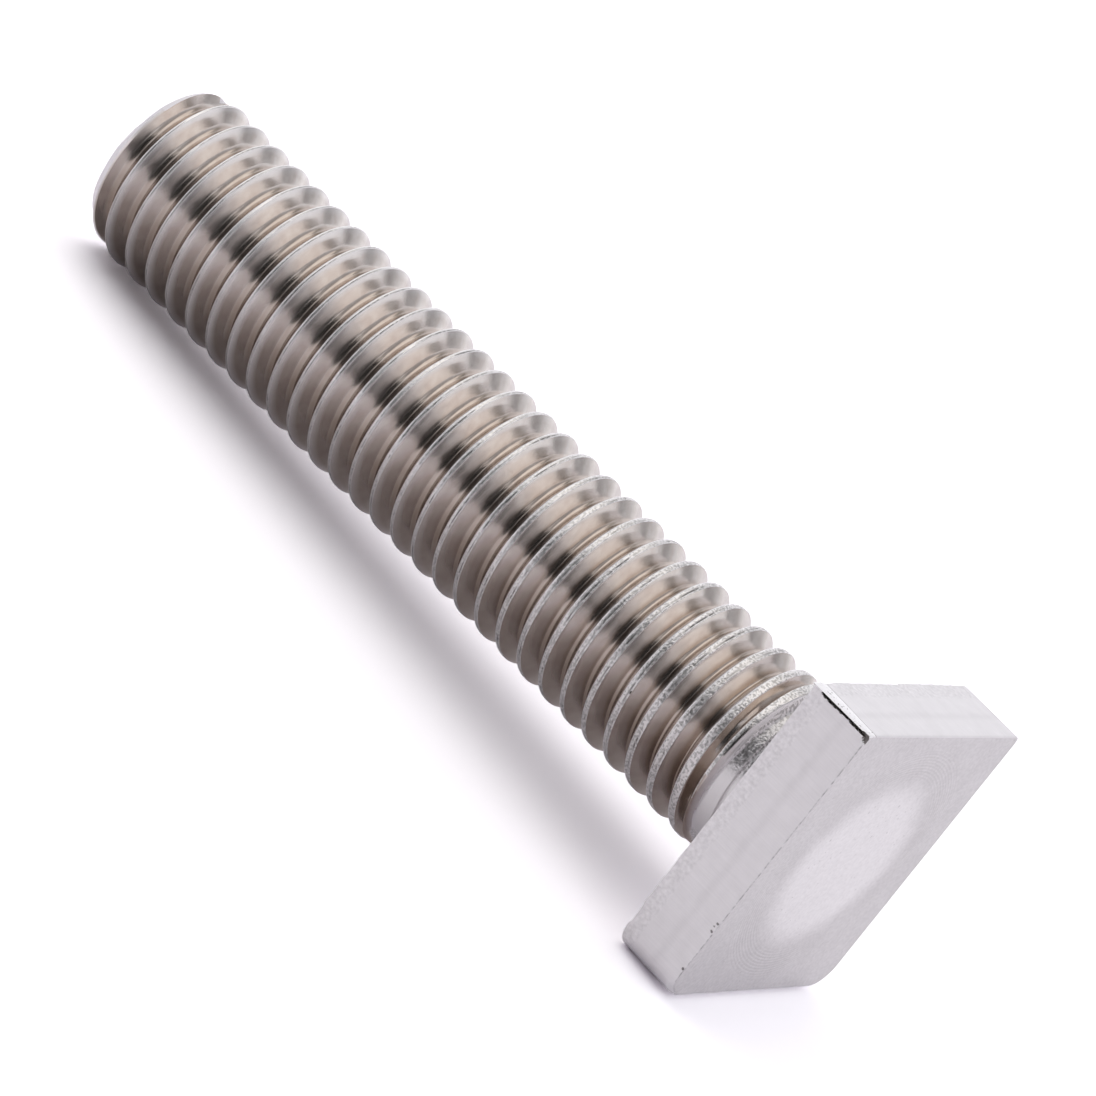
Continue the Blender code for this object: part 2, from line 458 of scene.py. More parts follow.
print("the lip is", LIP_AT_REAR, "mm wide at the rear and", LIP_AT_FRONT, "at the front")

# %% [markdown]
# ## From corners to a ring
#
# The four corners are joined by straight sides, whose points are the means of the two
# corners' ends. The ring is then turned so that it begins where the shank's rows do.
# Starting at a corner would be simpler, but then the faces that join them would twist.

# %% Rings as rounded squares
def ring_points(radii, inset):
    """Each ring's points, from the middle of the lower side round to it again."""
    corners = [corner_arc(index, radii, inset) for index in range(4)]
    legs = []
    for index in range(4):
        count = side_columns[index]
        start = corners[index - 1][:, -1:]
        end = corners[index][:, :1]
        share = side_shares(index, count)[None, :, None]
        legs.append(start + (end - start) * share)
        legs.append(corners[index][:, :-1])
    around = np.concatenate(legs, axis=1)
    return np.roll(around, -side_columns[0] // 2, axis=1)


print("corners in a ring:", len(corner_signs))

# %% [markdown]
# ## Rings up the sides
#
# The edges at both ends of the sides are only slightly broken, so two rings turn each
# of them through a quarter circle. Between them the rings are close together, because
# the marks of the shear are pressed into them next. A plain box with a Bevel modifier
# would have no points for those marks.

# %% Heights and insets of the rings
REAR_BREAK = 0.05
FRONT_BREAK = 0.06
BREAK_RINGS = 2
SIDE_RINGS = 41
quarter = np.linspace(0, math.pi / 2, BREAK_RINGS + 1)
rear_inset = REAR_BREAK * (1 - np.sin(quarter))
rear_height = REAR_BREAK * (1 - np.cos(quarter))
front_inset = FRONT_BREAK * (1 - np.cos(quarter))
front_height = head_thickness - FRONT_BREAK * (1 - np.sin(quarter))
side_height = np.linspace(REAR_BREAK, head_thickness - FRONT_BREAK, SIDE_RINGS)[1:-1]
ring_inset = np.concatenate([rear_inset, np.zeros_like(side_height), front_inset])
ring_height = np.concatenate([rear_height, side_height, front_height])
up = ring_height / head_thickness
LOW_FAR_RADIUS = 1.1
TOP_FAR_RADIUS = 0.35
LOW_NEAR_AT_REAR = 1.25
LOW_NEAR_AT_FRONT = 1.0
ring_radii = np.stack([
    LOW_FAR_RADIUS + 0 * up,
    TOP_FAR_RADIUS + 0 * up,
    LIP_AT_REAR + (LIP_AT_FRONT - LIP_AT_REAR) * up,
    LOW_NEAR_AT_REAR + (LOW_NEAR_AT_FRONT - LOW_NEAR_AT_REAR) * up,
], -1)
outline = ring_points(ring_radii, ring_inset)
levels = np.broadcast_to(ring_height[:, None, None], outline.shape[:2] + (1,))
wall = np.concatenate([outline, levels], -1)
print("rings of the wall:", len(wall))

# %% [markdown]
# ## Marks of the shear
#
# The four sides were sheared from the front. Under the lip that the shear folded over,
# a ragged split stays open along the near side, and it ends at the front in a small
# torn corner. The shear line runs along the near side at over half its height, and
# the last part, near the face under the head, was torn off and stands a little rough.
# The marks could be sculpted by hand. A rule that picks the points and moves them
# works again after a size has changed.

# %% Open the split and tear the corner
SPLIT_WIDTH = 0.10
SPLIT_DEPTH = 0.14
SPLIT_FROM = 0.42
TORN_LENGTH = 0.42
TORN_HEIGHT = 0.36
TORN_DEPTH = 0.10
SPLIT_WAVES = (0.17, 0.29, 0.53, 1.3)
SPLIT_RAGGED = 0.55
FLAT_LIMIT = 0.07
SLACK = 0.01
wall_x, wall_y, wall_z = np.moveaxis(wall.copy(), -1, 0)
on_near = wall_y < -half_width + FLAT_LIMIT
from_corner = wall_x + half_width
ragged = waves(wall_z[..., None], SPLIT_WAVES, seed=5)
split_end = LIP_ON_SIDE + SPLIT_WIDTH * (1 + SPLIT_RAGGED * ragged)
beside_lip = (from_corner > LIP_ON_SIDE + SLACK) & (from_corner < split_end)
in_split = on_near & beside_lip & (wall_z > SPLIT_FROM)
torn_line = head_thickness - TORN_HEIGHT * (1 - from_corner / TORN_LENGTH)
near_corner = (from_corner > -SLACK) & (from_corner < TORN_LENGTH)
in_corner = on_near & near_corner & (wall_z > torn_line)
split_points = in_split | in_corner
wall[..., 1] += np.where(in_corner, TORN_DEPTH, np.where(in_split, SPLIT_DEPTH, 0))
print("points in the split:", int(split_points.sum()))

# %% [markdown]
# ## The shear line and the torn strip
#
# Both are very shallow steps, about a hundredth of a millimetre, that run round the
# head. They show only because light glances off them at another angle. They are moved
# points and not bump, so that they stay in the mesh.

# %% Shear line and torn strip
SHEAR_LINE = 0.60 * head_thickness
TORN_STRIP = 0.24 * head_thickness
LINE_WIDTH = 0.25
LINE_DEPTH = 0.004
LINE_WANDER = 0.02
LINE_WAVES = (1.7, 3.9, 7.1)
STRIP_WANDER = 0.03
STRIP_WAVES = (0.9, 2.1, 4.7)
SIDE_SWELL = 0.003
SIDE_WAVES = (0.37, 0.61, 1.3, 2.9)
flat_place = np.stack([wall_x + wall_y, wall_z], -1)
line_height = SHEAR_LINE + LINE_WANDER * waves(flat_place[..., :1], LINE_WAVES, seed=11)
strip_height = TORN_STRIP + STRIP_WANDER * waves(flat_place[..., :1], STRIP_WAVES, seed=12)
sunk = LINE_DEPTH * soft_step(wall_z, line_height, line_height + LINE_WIDTH)
sunk += LINE_DEPTH * (1 - soft_step(wall_z, strip_height, strip_height + LINE_WIDTH))
sunk += SIDE_SWELL * (1 + waves(flat_place, SIDE_WAVES, seed=13))
flat_side = np.maximum(np.abs(wall_x), np.abs(wall_y)) > half_width - FLAT_LIMIT
along_x = np.abs(wall_x) > np.abs(wall_y)
outward = np.sign(np.stack([wall_x * along_x, wall_y * ~along_x], -1))
wall[..., :2] -= outward * np.where(flat_side, sunk, 0)[..., None]
print("deepest step:", sunk.max().round(3), "mm")

# %% [markdown]
# ## Uneven edges at the rear
#
# Where the steel tore off, the edge is not straight. On the top side a low burr stands
# past the face under the head, highest at the end of the lip and on one long bump. On
# the near side the edge steps back near its lower end. A Displace modifier would shake
# the whole edge alike, so each of these is a soft step at its own place.

# %% Burrs and a step
NEAR_EDGE = 0.45
LIP_OVERHANG = 0.12
TOP_OVERHANG = 0.07
STEP_PLACE = 10.7
STEP_DROP = 0.05
BUMP_PLACE = 8.4
BUMP_REACH = 1.7
BUMP_SLOPE = 0.3
BUMP_HEIGHT = 0.05
STEP_SLOPE = 0.15
LIP_STOPS = (0.55, 0.9)
BURR_GROWS = (0.9, 1.7)
EDGE_SWELL = 0.014
MORE_ON_TOP = 0.020
EDGE_WAVES = (0.7, 1.3, 2.9)
from_top_corner = wall_y + half_width
on_top = wall_x < -half_width + FLAT_LIMIT
at_rear = 1 - soft_step(wall_z, 0, NEAR_EDGE)
lip_end = LIP_OVERHANG * (1 - soft_step(from_top_corner, *LIP_STOPS))
top_burr = TOP_OVERHANG * soft_step(from_top_corner, *BURR_GROWS)
from_bump = np.abs(from_top_corner - BUMP_PLACE)
bump = BUMP_HEIGHT * (1 - soft_step(from_bump, BUMP_REACH - BUMP_SLOPE, BUMP_REACH))
notch = on_near * STEP_DROP * soft_step(from_corner, STEP_PLACE, STEP_PLACE + STEP_SLOPE)
uneven = (EDGE_SWELL + MORE_ON_TOP * on_top) * waves(wall[..., :2], EDGE_WAVES, seed=14)
wall[..., 2] += at_rear * (notch + uneven - on_top * (lip_end + top_burr + bump))
print("lowest point of the burr:", wall[..., 2].min().round(3), "mm")

# %% [markdown]
# ## The two flat faces of the head
#
# Both faces are rings that turn from the square outline into a circle. Under the head
# the circle meets the shank's last row. On the end face it shrinks to the centre. One
# large polygon could close each face, but it could not carry the mark of the punch.

# %% From square to circle
FACE_CIRCLE = 5.0
UNDER_RINGS = 4
END_RINGS = 21
LAST_RING_STEP = 0.6
SQUARE_FROM = 0.45
EDGE_BAND = 0.18
spin = math.tau * np.arange(HEAD_COLUMNS) / HEAD_COLUMNS
unit_circle = np.stack([np.cos(spin), np.sin(spin)], -1)


def at_level(flat, level):
    """Flat points, ring by ring, with one height added."""
    return np.concatenate([flat, np.full(flat.shape[:-1] + (1,), level)], -1)


under_share = (np.arange(UNDER_RINGS) / UNDER_RINGS)[:, None, None]
under_circle = unit_circle * FACE_CIRCLE - np.array([head_drop, 0.0])
under = at_level(under_circle + (outline[0] - under_circle) * under_share, 0.0)
edge_band = at_level(ring_points(ring_radii[-1:], np.array([EDGE_BAND])), head_thickness)
end_share = 1 - np.arange(1, END_RINGS + 1) / (END_RINGS + LAST_RING_STEP)
square_part = soft_step(end_share, SQUARE_FROM, 1.0)[:, None, None]
end_circle = unit_circle * half_width
end_outline = end_circle + (outline[-1] - end_circle) * square_part
end = at_level(end_outline * end_share[:, None, None], head_thickness)
head_points = np.concatenate([under, wall, edge_band, end])
print("rings of the head:", len(head_points))

# %% [markdown]
# ## Mark of the punch
#
# The punch that pressed the head left a shallow dish in the middle of the end face.
# Its depth eases out over a wide edge, so its rim shows as a soft change of light. A
# bump could show the same, but moved points stay in the mesh.

# %% Press the dish
DISH_RADIUS = 4.0
DISH_EDGE = 1.1
DISH_DEPTH = 0.014
SAME_LEVEL = 0.001
from_middle = np.hypot(head_points[..., 0], head_points[..., 1])
on_end = head_points[..., 2] > head_thickness - SAME_LEVEL
dish = 1 - soft_step(from_middle, DISH_RADIUS - DISH_EDGE, DISH_RADIUS + DISH_EDGE)
head_points[..., 2] -= np.where(on_end, DISH_DEPTH * dish, 0)
head_points[..., 0] += head_drop
print("deepest point of the dish:", round(DISH_DEPTH, 3), "mm")

# %% [markdown]
# ## The crushed corner
#
# The lower corner on the near side was knocked flat at some time. Every point that
# stands past a slanted plane there is moved straight onto the plane. A cut would take
# steel away, but a blow only pushes it in, and this keeps every face.

# %% Crush the corner
CRUSH_DIRECTION = np.array([0.60, -0.48, 0.64])
CRUSH_DEPTH = 0.50
sharp_corner = np.array([half_width + head_drop, -half_width, head_thickness])
past_plane = (head_points - sharp_corner) @ CRUSH_DIRECTION + CRUSH_DEPTH
head_points -= np.maximum(past_plane, 0)[..., None] * CRUSH_DIRECTION
print("points crushed:", int((past_plane > 0).sum()))

# %% [markdown]
# ## Joining everything to one closed mesh
#
# Quads join neighbouring points of each grid. The shank's last row meets the head's
# first ring with one flat polygon for each column, because the ring has four points
# for each of the shank's. The spiral's step at either end is closed by one flat
# polygon, and a fan of triangles closes the end face at its centre. Bridge Edge Loops
# does this by hand. Counted by a rule, the faces need no edge to be selected.

# %% Faces of the shank
def shank_id(column, row):
    """Number of a shank point; the column after the last is the first, one groove on."""
    wrapped = column // COLUMNS
    return (row + wrapped * ROWS) * COLUMNS + column % COLUMNS


column, row = np.meshgrid(np.arange(COLUMNS), np.arange(LAST_ROW), indexing="ij")
inside = (column < COLUMNS - 1) | (row + ROWS + 1 <= LAST_ROW)
column = column[inside]
row = row[inside]
shank_quads = np.stack([
    shank_id(column, row),
    shank_id(column + 1, row),
    shank_id(column + 1, row + 1),
    shank_id(column, row + 1),
], -1)
print("quads of the shank:", len(shank_quads))

# %% [markdown]
# ## Faces of the head
#
# The head's grid closes on itself going round, so its columns wrap to the first one.
# Its points follow the shank's in one list, and the last ring is closed by a fan.

# %% Faces of the head
shank_count = shank_points.size // 3
ring_count = len(head_points)


def head_id(ring_index, column):
    """Number of a head point."""
    return shank_count + ring_index * HEAD_COLUMNS + column % HEAD_COLUMNS


column, ring_index = np.meshgrid(np.arange(HEAD_COLUMNS), np.arange(ring_count - 1), indexing="ij")
head_quads = np.stack([
    head_id(ring_index, column),
    head_id(ring_index, column + 1),
    head_id(ring_index + 1, column + 1),
    head_id(ring_index + 1, column),
], -1).reshape(-1, 4)
centre_id = shank_count + ring_count * HEAD_COLUMNS
column = np.arange(HEAD_COLUMNS)
fan = np.stack([
    head_id(ring_count - 1, column),
    head_id(ring_count - 1, column + 1),
    np.full(HEAD_COLUMNS, centre_id),
], -1)
print("faces of the head:", len(head_quads) + len(fan))

# %% [markdown]
# ## Closing the mesh
#
# A real screw is solid, so its surface has no hole anywhere. A Boolean union could join
# shank and head, but it would leave a ragged seam. Here both end on the same circle,
# and a polygon for each column of the shank takes in the points of both sides.

# %% Polygons that join and close
i = np.arange(COLUMNS - 1)
joins = np.stack([
    shank_id(i, LAST_ROW),
    shank_id(i + 1, LAST_ROW),
    *(head_id(0, 4 * i + step_back) for step_back in range(4, -1, -1)),
], -1)
down = np.arange(LAST_ROW, LAST_ROW - ROWS - 1, -1)
last_join = np.concatenate([
    shank_id(COLUMNS - 1, down),
    [shank_id(0, LAST_ROW)],
    head_id(0, HEAD_COLUMNS - np.arange(5)),
])
tip_fill = np.concatenate([
    shank_id(0, np.arange(1, ROWS + 1)),
    shank_id(np.arange(COLUMNS - 1, -1, -1), 0),
])
print("points of the polygon at the tip:", len(tip_fill))

# %% [markdown]
# ## The mesh
#
# Each face also says how the steel was worked there, by the number of its material.
# Each point carries its place on the upright screw, in millimetres. Patterns read
# that, so that they follow the shank and the head and stay on the steel. A UV map
# could say it too, but it would need seams, and a pattern breaks at a seam.

# %% Say how each face of the shank was worked
FLANK, CREST, NECK, CUT, SHEARED, PRESSED, LIP, SPLIT = range(8)
ROLLED_CREST_ROWS = CREST_ROWS + 2
NECK_MARGIN = 0.1
CREST_MARGIN = 0.02
FACE_MARGIN = 0.01
upright_points = shank_points.reshape(-1, 3)
crest_rows = np.zeros(ROWS, bool)
crest_rows[:CREST_ROWS] = True
crest_rows[-ROLLED_CREST_ROWS:] = True
quad_height = upright_points[shank_quads][..., 2].mean(-1)
quad_radius = np.hypot(*upright_points[shank_quads][..., :2].mean(1).T)
shank_kind = np.where(crest_rows[row % ROWS], CREST, FLANK)
shank_kind = np.where(in_point_order(on_rim)[shank_quads].sum(-1) > 2, CUT, shank_kind)
shank_kind = np.where(quad_height > STEP_END - NECK_MARGIN, NECK, shank_kind)
last_crest = (quad_radius > CREST_RADIUS - CREST_MARGIN) & (quad_height < STEP_START)
shank_kind = np.where(last_crest, CREST, shank_kind)
shank_kind = np.where(quad_height > -FACE_MARGIN, CUT, shank_kind)
shank_kind = np.where(quad_height < -shank_length + SAME_LEVEL, CUT, shank_kind)
print("faces of each kind on the shank:", np.bincount(shank_kind))

# %% [markdown]
# ## Kinds of face on the head
#
# The sides were sheared, the end was pressed, and the lip and the split are of their
# own kind. Where a face lies in the grid says which it is. Selecting faces by hand
# would do the same, but not again after a size is changed.

# %% Say how each face of the head was worked
wall_rings = slice(UNDER_RINGS, UNDER_RINGS + len(wall))
head_ring = np.tile(np.arange(ring_count - 1), HEAD_COLUMNS)
head_kind = np.where(head_ring < UNDER_RINGS, CUT, SHEARED)
head_kind = np.where(head_ring >= wall_rings.stop - 1, PRESSED, head_kind)
head_column = np.repeat(np.arange(HEAD_COLUMNS), ring_count - 1)
columns_before = sum(side_columns[:NEAR_TOP + 1]) + sum(corner_columns[:NEAR_TOP])
lip_start = columns_before - side_columns[0] // 2
in_lip = (head_column >= lip_start) & (head_column < lip_start + corner_columns[NEAR_TOP])
head_kind = np.where(in_lip & (head_kind == SHEARED), LIP, head_kind)
in_dark = np.zeros((ring_count, HEAD_COLUMNS), bool)
in_dark[wall_rings] = split_points
deep = in_dark.reshape(-1)[head_quads - shank_count].sum(-1) > 1
head_kind = np.where(deep, SPLIT, head_kind)
kinds = np.concatenate([
    shank_kind,
    head_kind,
    np.full(len(fan), PRESSED),
    np.full(len(joins) + 2, CUT),
])
print("faces of each kind:", np.bincount(kinds))

# %% [markdown]
# ## What the patterns read
#
# Besides its upright place, each point of the thread carries where it is along and
# across its groove, how far it is towards the head, and how much the steel was
# squeezed there: fully on the rolled side of a crest, and not at all in the root.
# On the head a thin line is marked where the lip was folded over. These could be
# painted, but the grid already knows them exactly.

# %% Work out the marks
SQUEEZED_FROM = 0.58
SHARP_SQUEEZED_FROM = 0.14
FULLY_SQUEEZED = 0.25
from_crest = PITCH / 2 - np.abs(place)
squeeze_reach = np.where(place > 0, SQUEEZED_FROM, SHARP_SQUEEZED_FROM)
squeezed = 1 - soft_step(from_crest, FULLY_SQUEEZED * squeeze_reach, squeeze_reach)
head_line = np.zeros((ring_count, HEAD_COLUMNS))
head_line[wall_rings, lip_start] = 1
head_zeros = np.zeros(head_points.size // 3 + 1)


def with_head(values, on_head=head_zeros):
    """Values of the shank's grid and of the head's points, one after the other."""
    everywhere = values + np.zeros_like(height)
    return np.concatenate([in_point_order(everywhere), on_head])


marks = {
    "along_groove_mm": with_head(angle[..., None] * CREST_RADIUS),
    "across_groove_mm": with_head(place),
    "towards_head": with_head(towards_head[..., None]),
    "squeezed": with_head(squeezed),
    "lap_line": with_head(lap_line, np.append(head_line.reshape(-1), 0)),
}
print("marks:", list(marks))

# %% [markdown]
# ## Into Blender
#
# The points are laid down on the floor and kept inside the solid's own box. The mesh
# is smooth, with sharp edges where two faces meet steeply, as at the head's corners.
# The operators of the Add menu work on what is selected, and from_pydata takes points
# and faces as they are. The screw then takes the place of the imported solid.

# %% Put it into Blender
points = np.concatenate([
    upright_points,
    head_points.reshape(-1, 3),
    [[head_drop, 0, head_thickness - DISH_DEPTH]],
])
faces = shank_quads.tolist() + head_quads.tolist() + fan.tolist() + joins.tolist()
faces += [last_join.tolist(), tip_fill.tolist()]
mesh = bpy.data.meshes.new("screw")
laid = np.clip(lay_down(points), np.array(cad_box[0]) / MM, np.array(cad_box[1]) / MM)
mesh.from_pydata((laid * MM).tolist(), [], faces)
mesh.polygons.foreach_set("material_index", kinds.astype(np.int32))

upright = mesh.attributes.new("upright_mm", "FLOAT_VECTOR", "POINT")
upright.data.foreach_set("vector", points.astype(np.float32).reshape(-1))
for name, values in marks.items():
    mark = mesh.attributes.new(name, "FLOAT", "POINT")
    mark.data.foreach_set("value", values.astype(np.float32))

SHARP_ANGLE = math.radians(40)
mesh.shade_smooth()
mesh.set_sharp_from_angle(angle=SHARP_ANGLE)
screw = bpy.data.objects.new("screw", mesh)
bpy.context.scene.collection.objects.link(screw)
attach(screw, "root")
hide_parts("square_head_screw")
print("triangles:", sum(len(polygon.vertices) - 2 for polygon in mesh.polygons))

# %% [markdown]
# ## Helpers for the finishes
#
# Colours are written as a designer would, in sRGB hex, and turned to linear light. One
# small function adds a node, whatever its kind, with its settings and links, and gives
# back the output that the next node needs. An input goes by its name, or by its number
# where Blender gives several the same name: 0, 1 and 2 are the values of a Math node,
# and on a Mix node for colours 0 is the share and 6 and 7 are the two colours. Nodes
# could be joined by hand in the Shader Editor, but a script can be read and repeated.

# %% Colour and node helpers
def colour(hex_code):
    """Linear colour of an sRGB hex code: each channel over 255, through the sRGB curve."""
    channels = [int(hex_code[i:i + 2], 16) / 255 for i in (1, 3, 5)]
    linear = [c / 12.92 if c <= 0.04045 else ((c + 0.055) / 1.055) ** 2.4 for c in channels]
    return (*linear, 1)


print("mid grey, #808080, is", round(colour("#808080")[0], 3), "in linear light")


def add_node(tree, kind, settings, output=0):
    """Add a shader node. A setting is a property, an input's value, or a socket to link."""
    new = tree.nodes.new("ShaderNode" + kind)
    for name, value in settings.items():
        if isinstance(name, str) and name.islower():
            setattr(new, name, value)
        elif isinstance(value, bpy.types.NodeSocket):
            tree.links.new(value, new.inputs[name])
        else:
            new.inputs[name].default_value = value
    return new.outputs[output] if new.outputs else None


# %% [markdown]
# ## What every finish shares
#
# Bare steel is fully metallic and keeps the default IOR. What changes from place to
# place is its colour, which is its film of oxide and oil, how rough it is, and its
# small relief. Most patterns start from soft grains: noise on the point's own place,
# divided by the size of one grain in millimetres.

# %% A steel, its grains and its surface
def bare_steel(name):
    """A new fully metallic material with the default IOR. Gives its tree and upright place."""
    material = bpy.data.materials.new(name)
    material.use_nodes = True
    tree = material.node_tree
    tree.nodes["Principled BSDF"].inputs["Metallic"].default_value = 1
    screw.data.materials.append(material)
    return tree, add_node(tree, "Attribute", {"attribute_name": "upright_mm"}, "Vector")


def grain(tree, place, size, detail=2.0):
    """Soft grains between 0 and 1: the place is divided by a grain's size in mm, per axis."""
    scaled = add_node(tree, "VectorMath", {"operation": "DIVIDE", 0: place, 1: size})
    return add_node(tree, "TexNoise", {"Vector": scaled, "Scale": 1.0, "Detail": detail})


def work_surface(tree, base, roughness, rough_share, height, relief):
    """Link a finish: base colour, roughness between two values, height times relief in mm."""
    shader = tree.nodes["Principled BSDF"]
    rough = add_node(tree, "MapRange", {
        "Value": rough_share, "To Min": roughness[0], "To Max": roughness[1],
    })
    bump = add_node(tree, "Bump", {"Strength": 1.0, "Distance": relief * MM, "Height": height})
    tree.links.new(base, shader.inputs["Base Color"])
    tree.links.new(rough, shader.inputs["Roughness"])
    tree.links.new(bump, shader.inputs["Normal"])


print("kinds of face that need a finish:", kinds.max() + 1)

# %% [markdown]
# ## The rolled flanks
#
# Stainless steel, A2, burnished by the rolling dies. Under their pressure the flanks
# became nearly a mirror with a warm film of oil and oxide in the groove. On the rolled
# side of each crest the film is rubbed off, and the dies left fine bright lines there,
# about 0.09 mm apart. The lines could be modelled as grooves, but they are too fine, so
# they are noise on the place along and across the groove, drawn out along the helix.

# %% Film and die lines of the rolled flank
FILM_SIZE = 0.5
FILM_EDGE = (0.3, 0.7)
THIN_FILM = "#D2C8C2"
THICK_FILM = "#E0D9D4"
DIE_LINE = 0.09
LINE_LENGTH = 4.0

tree, place = bare_steel("rolled_flank_steel")
squeezed = add_node(tree, "Attribute", {"attribute_name": "squeezed"}, "Fac")
across = add_node(tree, "Attribute", {"attribute_name": "across_groove_mm"}, "Fac")
die_place = add_node(tree, "CombineXYZ", {
    "X": add_node(tree, "Attribute", {"attribute_name": "along_groove_mm"}, "Fac"),
    "Y": across,
})
lines = grain(tree, die_place, (LINE_LENGTH, DIE_LINE, 1.0), detail=1.0)
film = grain(tree, place, (FILM_SIZE,) * 3, detail=5.0)
thick_film = add_node(tree, "MapRange", {
    "Value": film, "From Min": FILM_EDGE[0], "From Max": FILM_EDGE[1],
})
warm = add_node(tree, "Mix", {
    "data_type": "RGBA", 0: thick_film, 6: colour(THIN_FILM), 7: colour(THICK_FILM),
}, 2)
print("die lines every", DIE_LINE, "mm")

# %% [markdown]
# ## Painted shade on the underside, and a darker root
#
# The flanks and crests are painted darker towards the side that the screw lies on:
# painted shade on the underside. The root of the groove is darker too, partly dirt and
# partly painted shade in the hollow. It could be painted on by hand. A mask that follows
# the place needs no painting: how far a point lies towards the underside, and how far
# it is from the middle of the groove.

# %% A mask for the painted shade on the underside
UNDERSIDE_SHADE_DIRECTION = (0.944, -0.329, 0.0)
UNDERSIDE_SHADE_FROM = 0.3
UNDERSIDE_SHADE_FULL = 2.4


def shaded_underside(tree, place):
    """How much painted shade: the place's reach towards the underside, eased from 0 to 1."""
    reach = add_node(tree, "VectorMath", {
        "operation": "DOT_PRODUCT", 0: place, 1: UNDERSIDE_SHADE_DIRECTION,
    }, "Value")
    return add_node(tree, "MapRange", {
        "interpolation_type": "SMOOTHSTEP",
        "Value": reach, "From Min": UNDERSIDE_SHADE_FROM, "From Max": UNDERSIDE_SHADE_FULL,
    })


print("oil begins", UNDERSIDE_SHADE_FROM, "mm from the middle and is full at", UNDERSIDE_SHADE_FULL, "mm")

# %% [markdown]
# ## Colours of the flank
#
# A groove shows its colour twice, because light is mirrored from one flank to the
# other before it leaves. So the film is paler here than it looks, and the dark colours
# are only a little darker. The film is rubbed bright where the steel was squeezed.

# %% Painted shade on the underside, and dirt and shade in the root
ROOT_FULL = 0.10
ROOT_END = 0.24
FLANK_UNDERSIDE_SHADE = "#BAB3AE"
RUBBED_BRIGHT = "#E6E3E4"
ROOT_DIRT_AND_SHADE = "#E6E0DB"
FLANK_ROUGHNESS = (0.18, 0.24)
LINE_RELIEF = 0.012

# Painted shade: the flank's film is darkened towards the underside.
shaded_film = add_node(tree, "Mix", {
    "data_type": "RGBA", "blend_type": "MULTIPLY",
    0: shaded_underside(tree, place), 6: warm, 7: colour(FLANK_UNDERSIDE_SHADE),
}, 2)
base = add_node(tree, "Mix", {
    "data_type": "RGBA", 0: squeezed, 6: shaded_film, 7: colour(RUBBED_BRIGHT),
}, 2)
# The root is darker: partly dirt, partly painted shade in the hollow of the groove.
from_root = add_node(tree, "Math", {"operation": "ABSOLUTE", 0: across})
in_root = add_node(tree, "MapRange", {
    "interpolation_type": "SMOOTHSTEP",
    "Value": from_root, "From Min": ROOT_END, "From Max": ROOT_FULL,
})
base = add_node(tree, "Mix", {
    "data_type": "RGBA", "blend_type": "MULTIPLY", 0: in_root, 6: base, 7: colour(ROOT_DIRT_AND_SHADE),
}, 2)
line_height = add_node(tree, "Math", {"operation": "MULTIPLY", 0: lines, 1: squeezed})
work_surface(tree, base, FLANK_ROUGHNESS, film, line_height, LINE_RELIEF)
print("dirt reaches", ROOT_END, "mm from the middle of the groove")

# %% [markdown]
# ## The crests
#
# The steel that was squeezed out last was never touched by the dies. Near the head it
# is broad and torn, with bright grains about 0.1 mm wide and dark gaps between them.
# Towards the tip it is a thin bright line beside the dark lap. Each grain could be
# sculpted, but noise gives thousands at once. Real grains are finer than that: they
# are drawn as coarse as they need to show.

# %% Torn crest
CREST_GRAIN = 0.10
GRAIN_GAP = (0.55, 0.40)
GAP_MORE_AT_HEAD = 0.40
GAP_AT_TIP = 0.06
RAGGED_SIZE = 0.22
LAP_BREAKS = (0.38, 0.52)

tree, place = bare_steel("torn_crest_steel")
towards = add_node(tree, "Attribute", {"attribute_name": "towards_head"}, "Fac")
lap_mark = add_node(tree, "Attribute", {"attribute_name": "lap_line"}, "Fac")
grains = grain(tree, place, (CREST_GRAIN,) * 3, detail=1.5)
gaps = add_node(tree, "MapRange", {
    "interpolation_type": "SMOOTHSTEP",
    "Value": grains, "From Min": GRAIN_GAP[0], "From Max": GRAIN_GAP[1],
})
gap_part = add_node(tree, "Math", {
    "operation": "MULTIPLY_ADD", 0: towards, 1: GAP_MORE_AT_HEAD, 2: GAP_AT_TIP,
})
gap_tone = add_node(tree, "Math", {"operation": "MULTIPLY", 0: gaps, 1: gap_part})
broken = add_node(tree, "MapRange", {
    "Value": grain(tree, place, (RAGGED_SIZE,) * 3),
    "From Min": LAP_BREAKS[0], "From Max": LAP_BREAKS[1],
})
lap_tone = add_node(tree, "Math", {"operation": "MULTIPLY", 0: lap_mark, 1: broken})
tone = add_node(tree, "Math", {"operation": "MAXIMUM", 0: gap_tone, 1: lap_tone})
print("grains", CREST_GRAIN, "mm wide")

# %% [markdown]
# ## Two pits in the crest
#
# Two small pits stay open in the crests nearest to the head, where the torn steel
# folded over a void. They are only a few hundredths deep, so a dark spot with a soft
# edge, by its distance from a point, does for each: painted shade in the pit. Then the
# crest gets its colours, and painted shade darkens it towards the underside, less so
# towards the head, as it darkens the flank.

# %% Pits and colours of the crest
CREST_PITS = ((0.11, -3.89, -6.52), (0.50, -3.86, -4.33))
PIT_RADIUS = 0.075
PIT_SOFT = (1.4, 0.7)
CREST_BRIGHT = "#F1EEEE"
CREST_DARK = "#49433F"
CREST_UNDERSIDE_SHADE = "#C2BEBE"
LESS_SHADE_AT_HEAD = -0.6
GRAIN_MORE_AT_HEAD = 0.8
GRAIN_AT_TIP = 0.2
CREST_ROUGHNESS = (0.26, 0.40)
CREST_RELIEF = 0.035
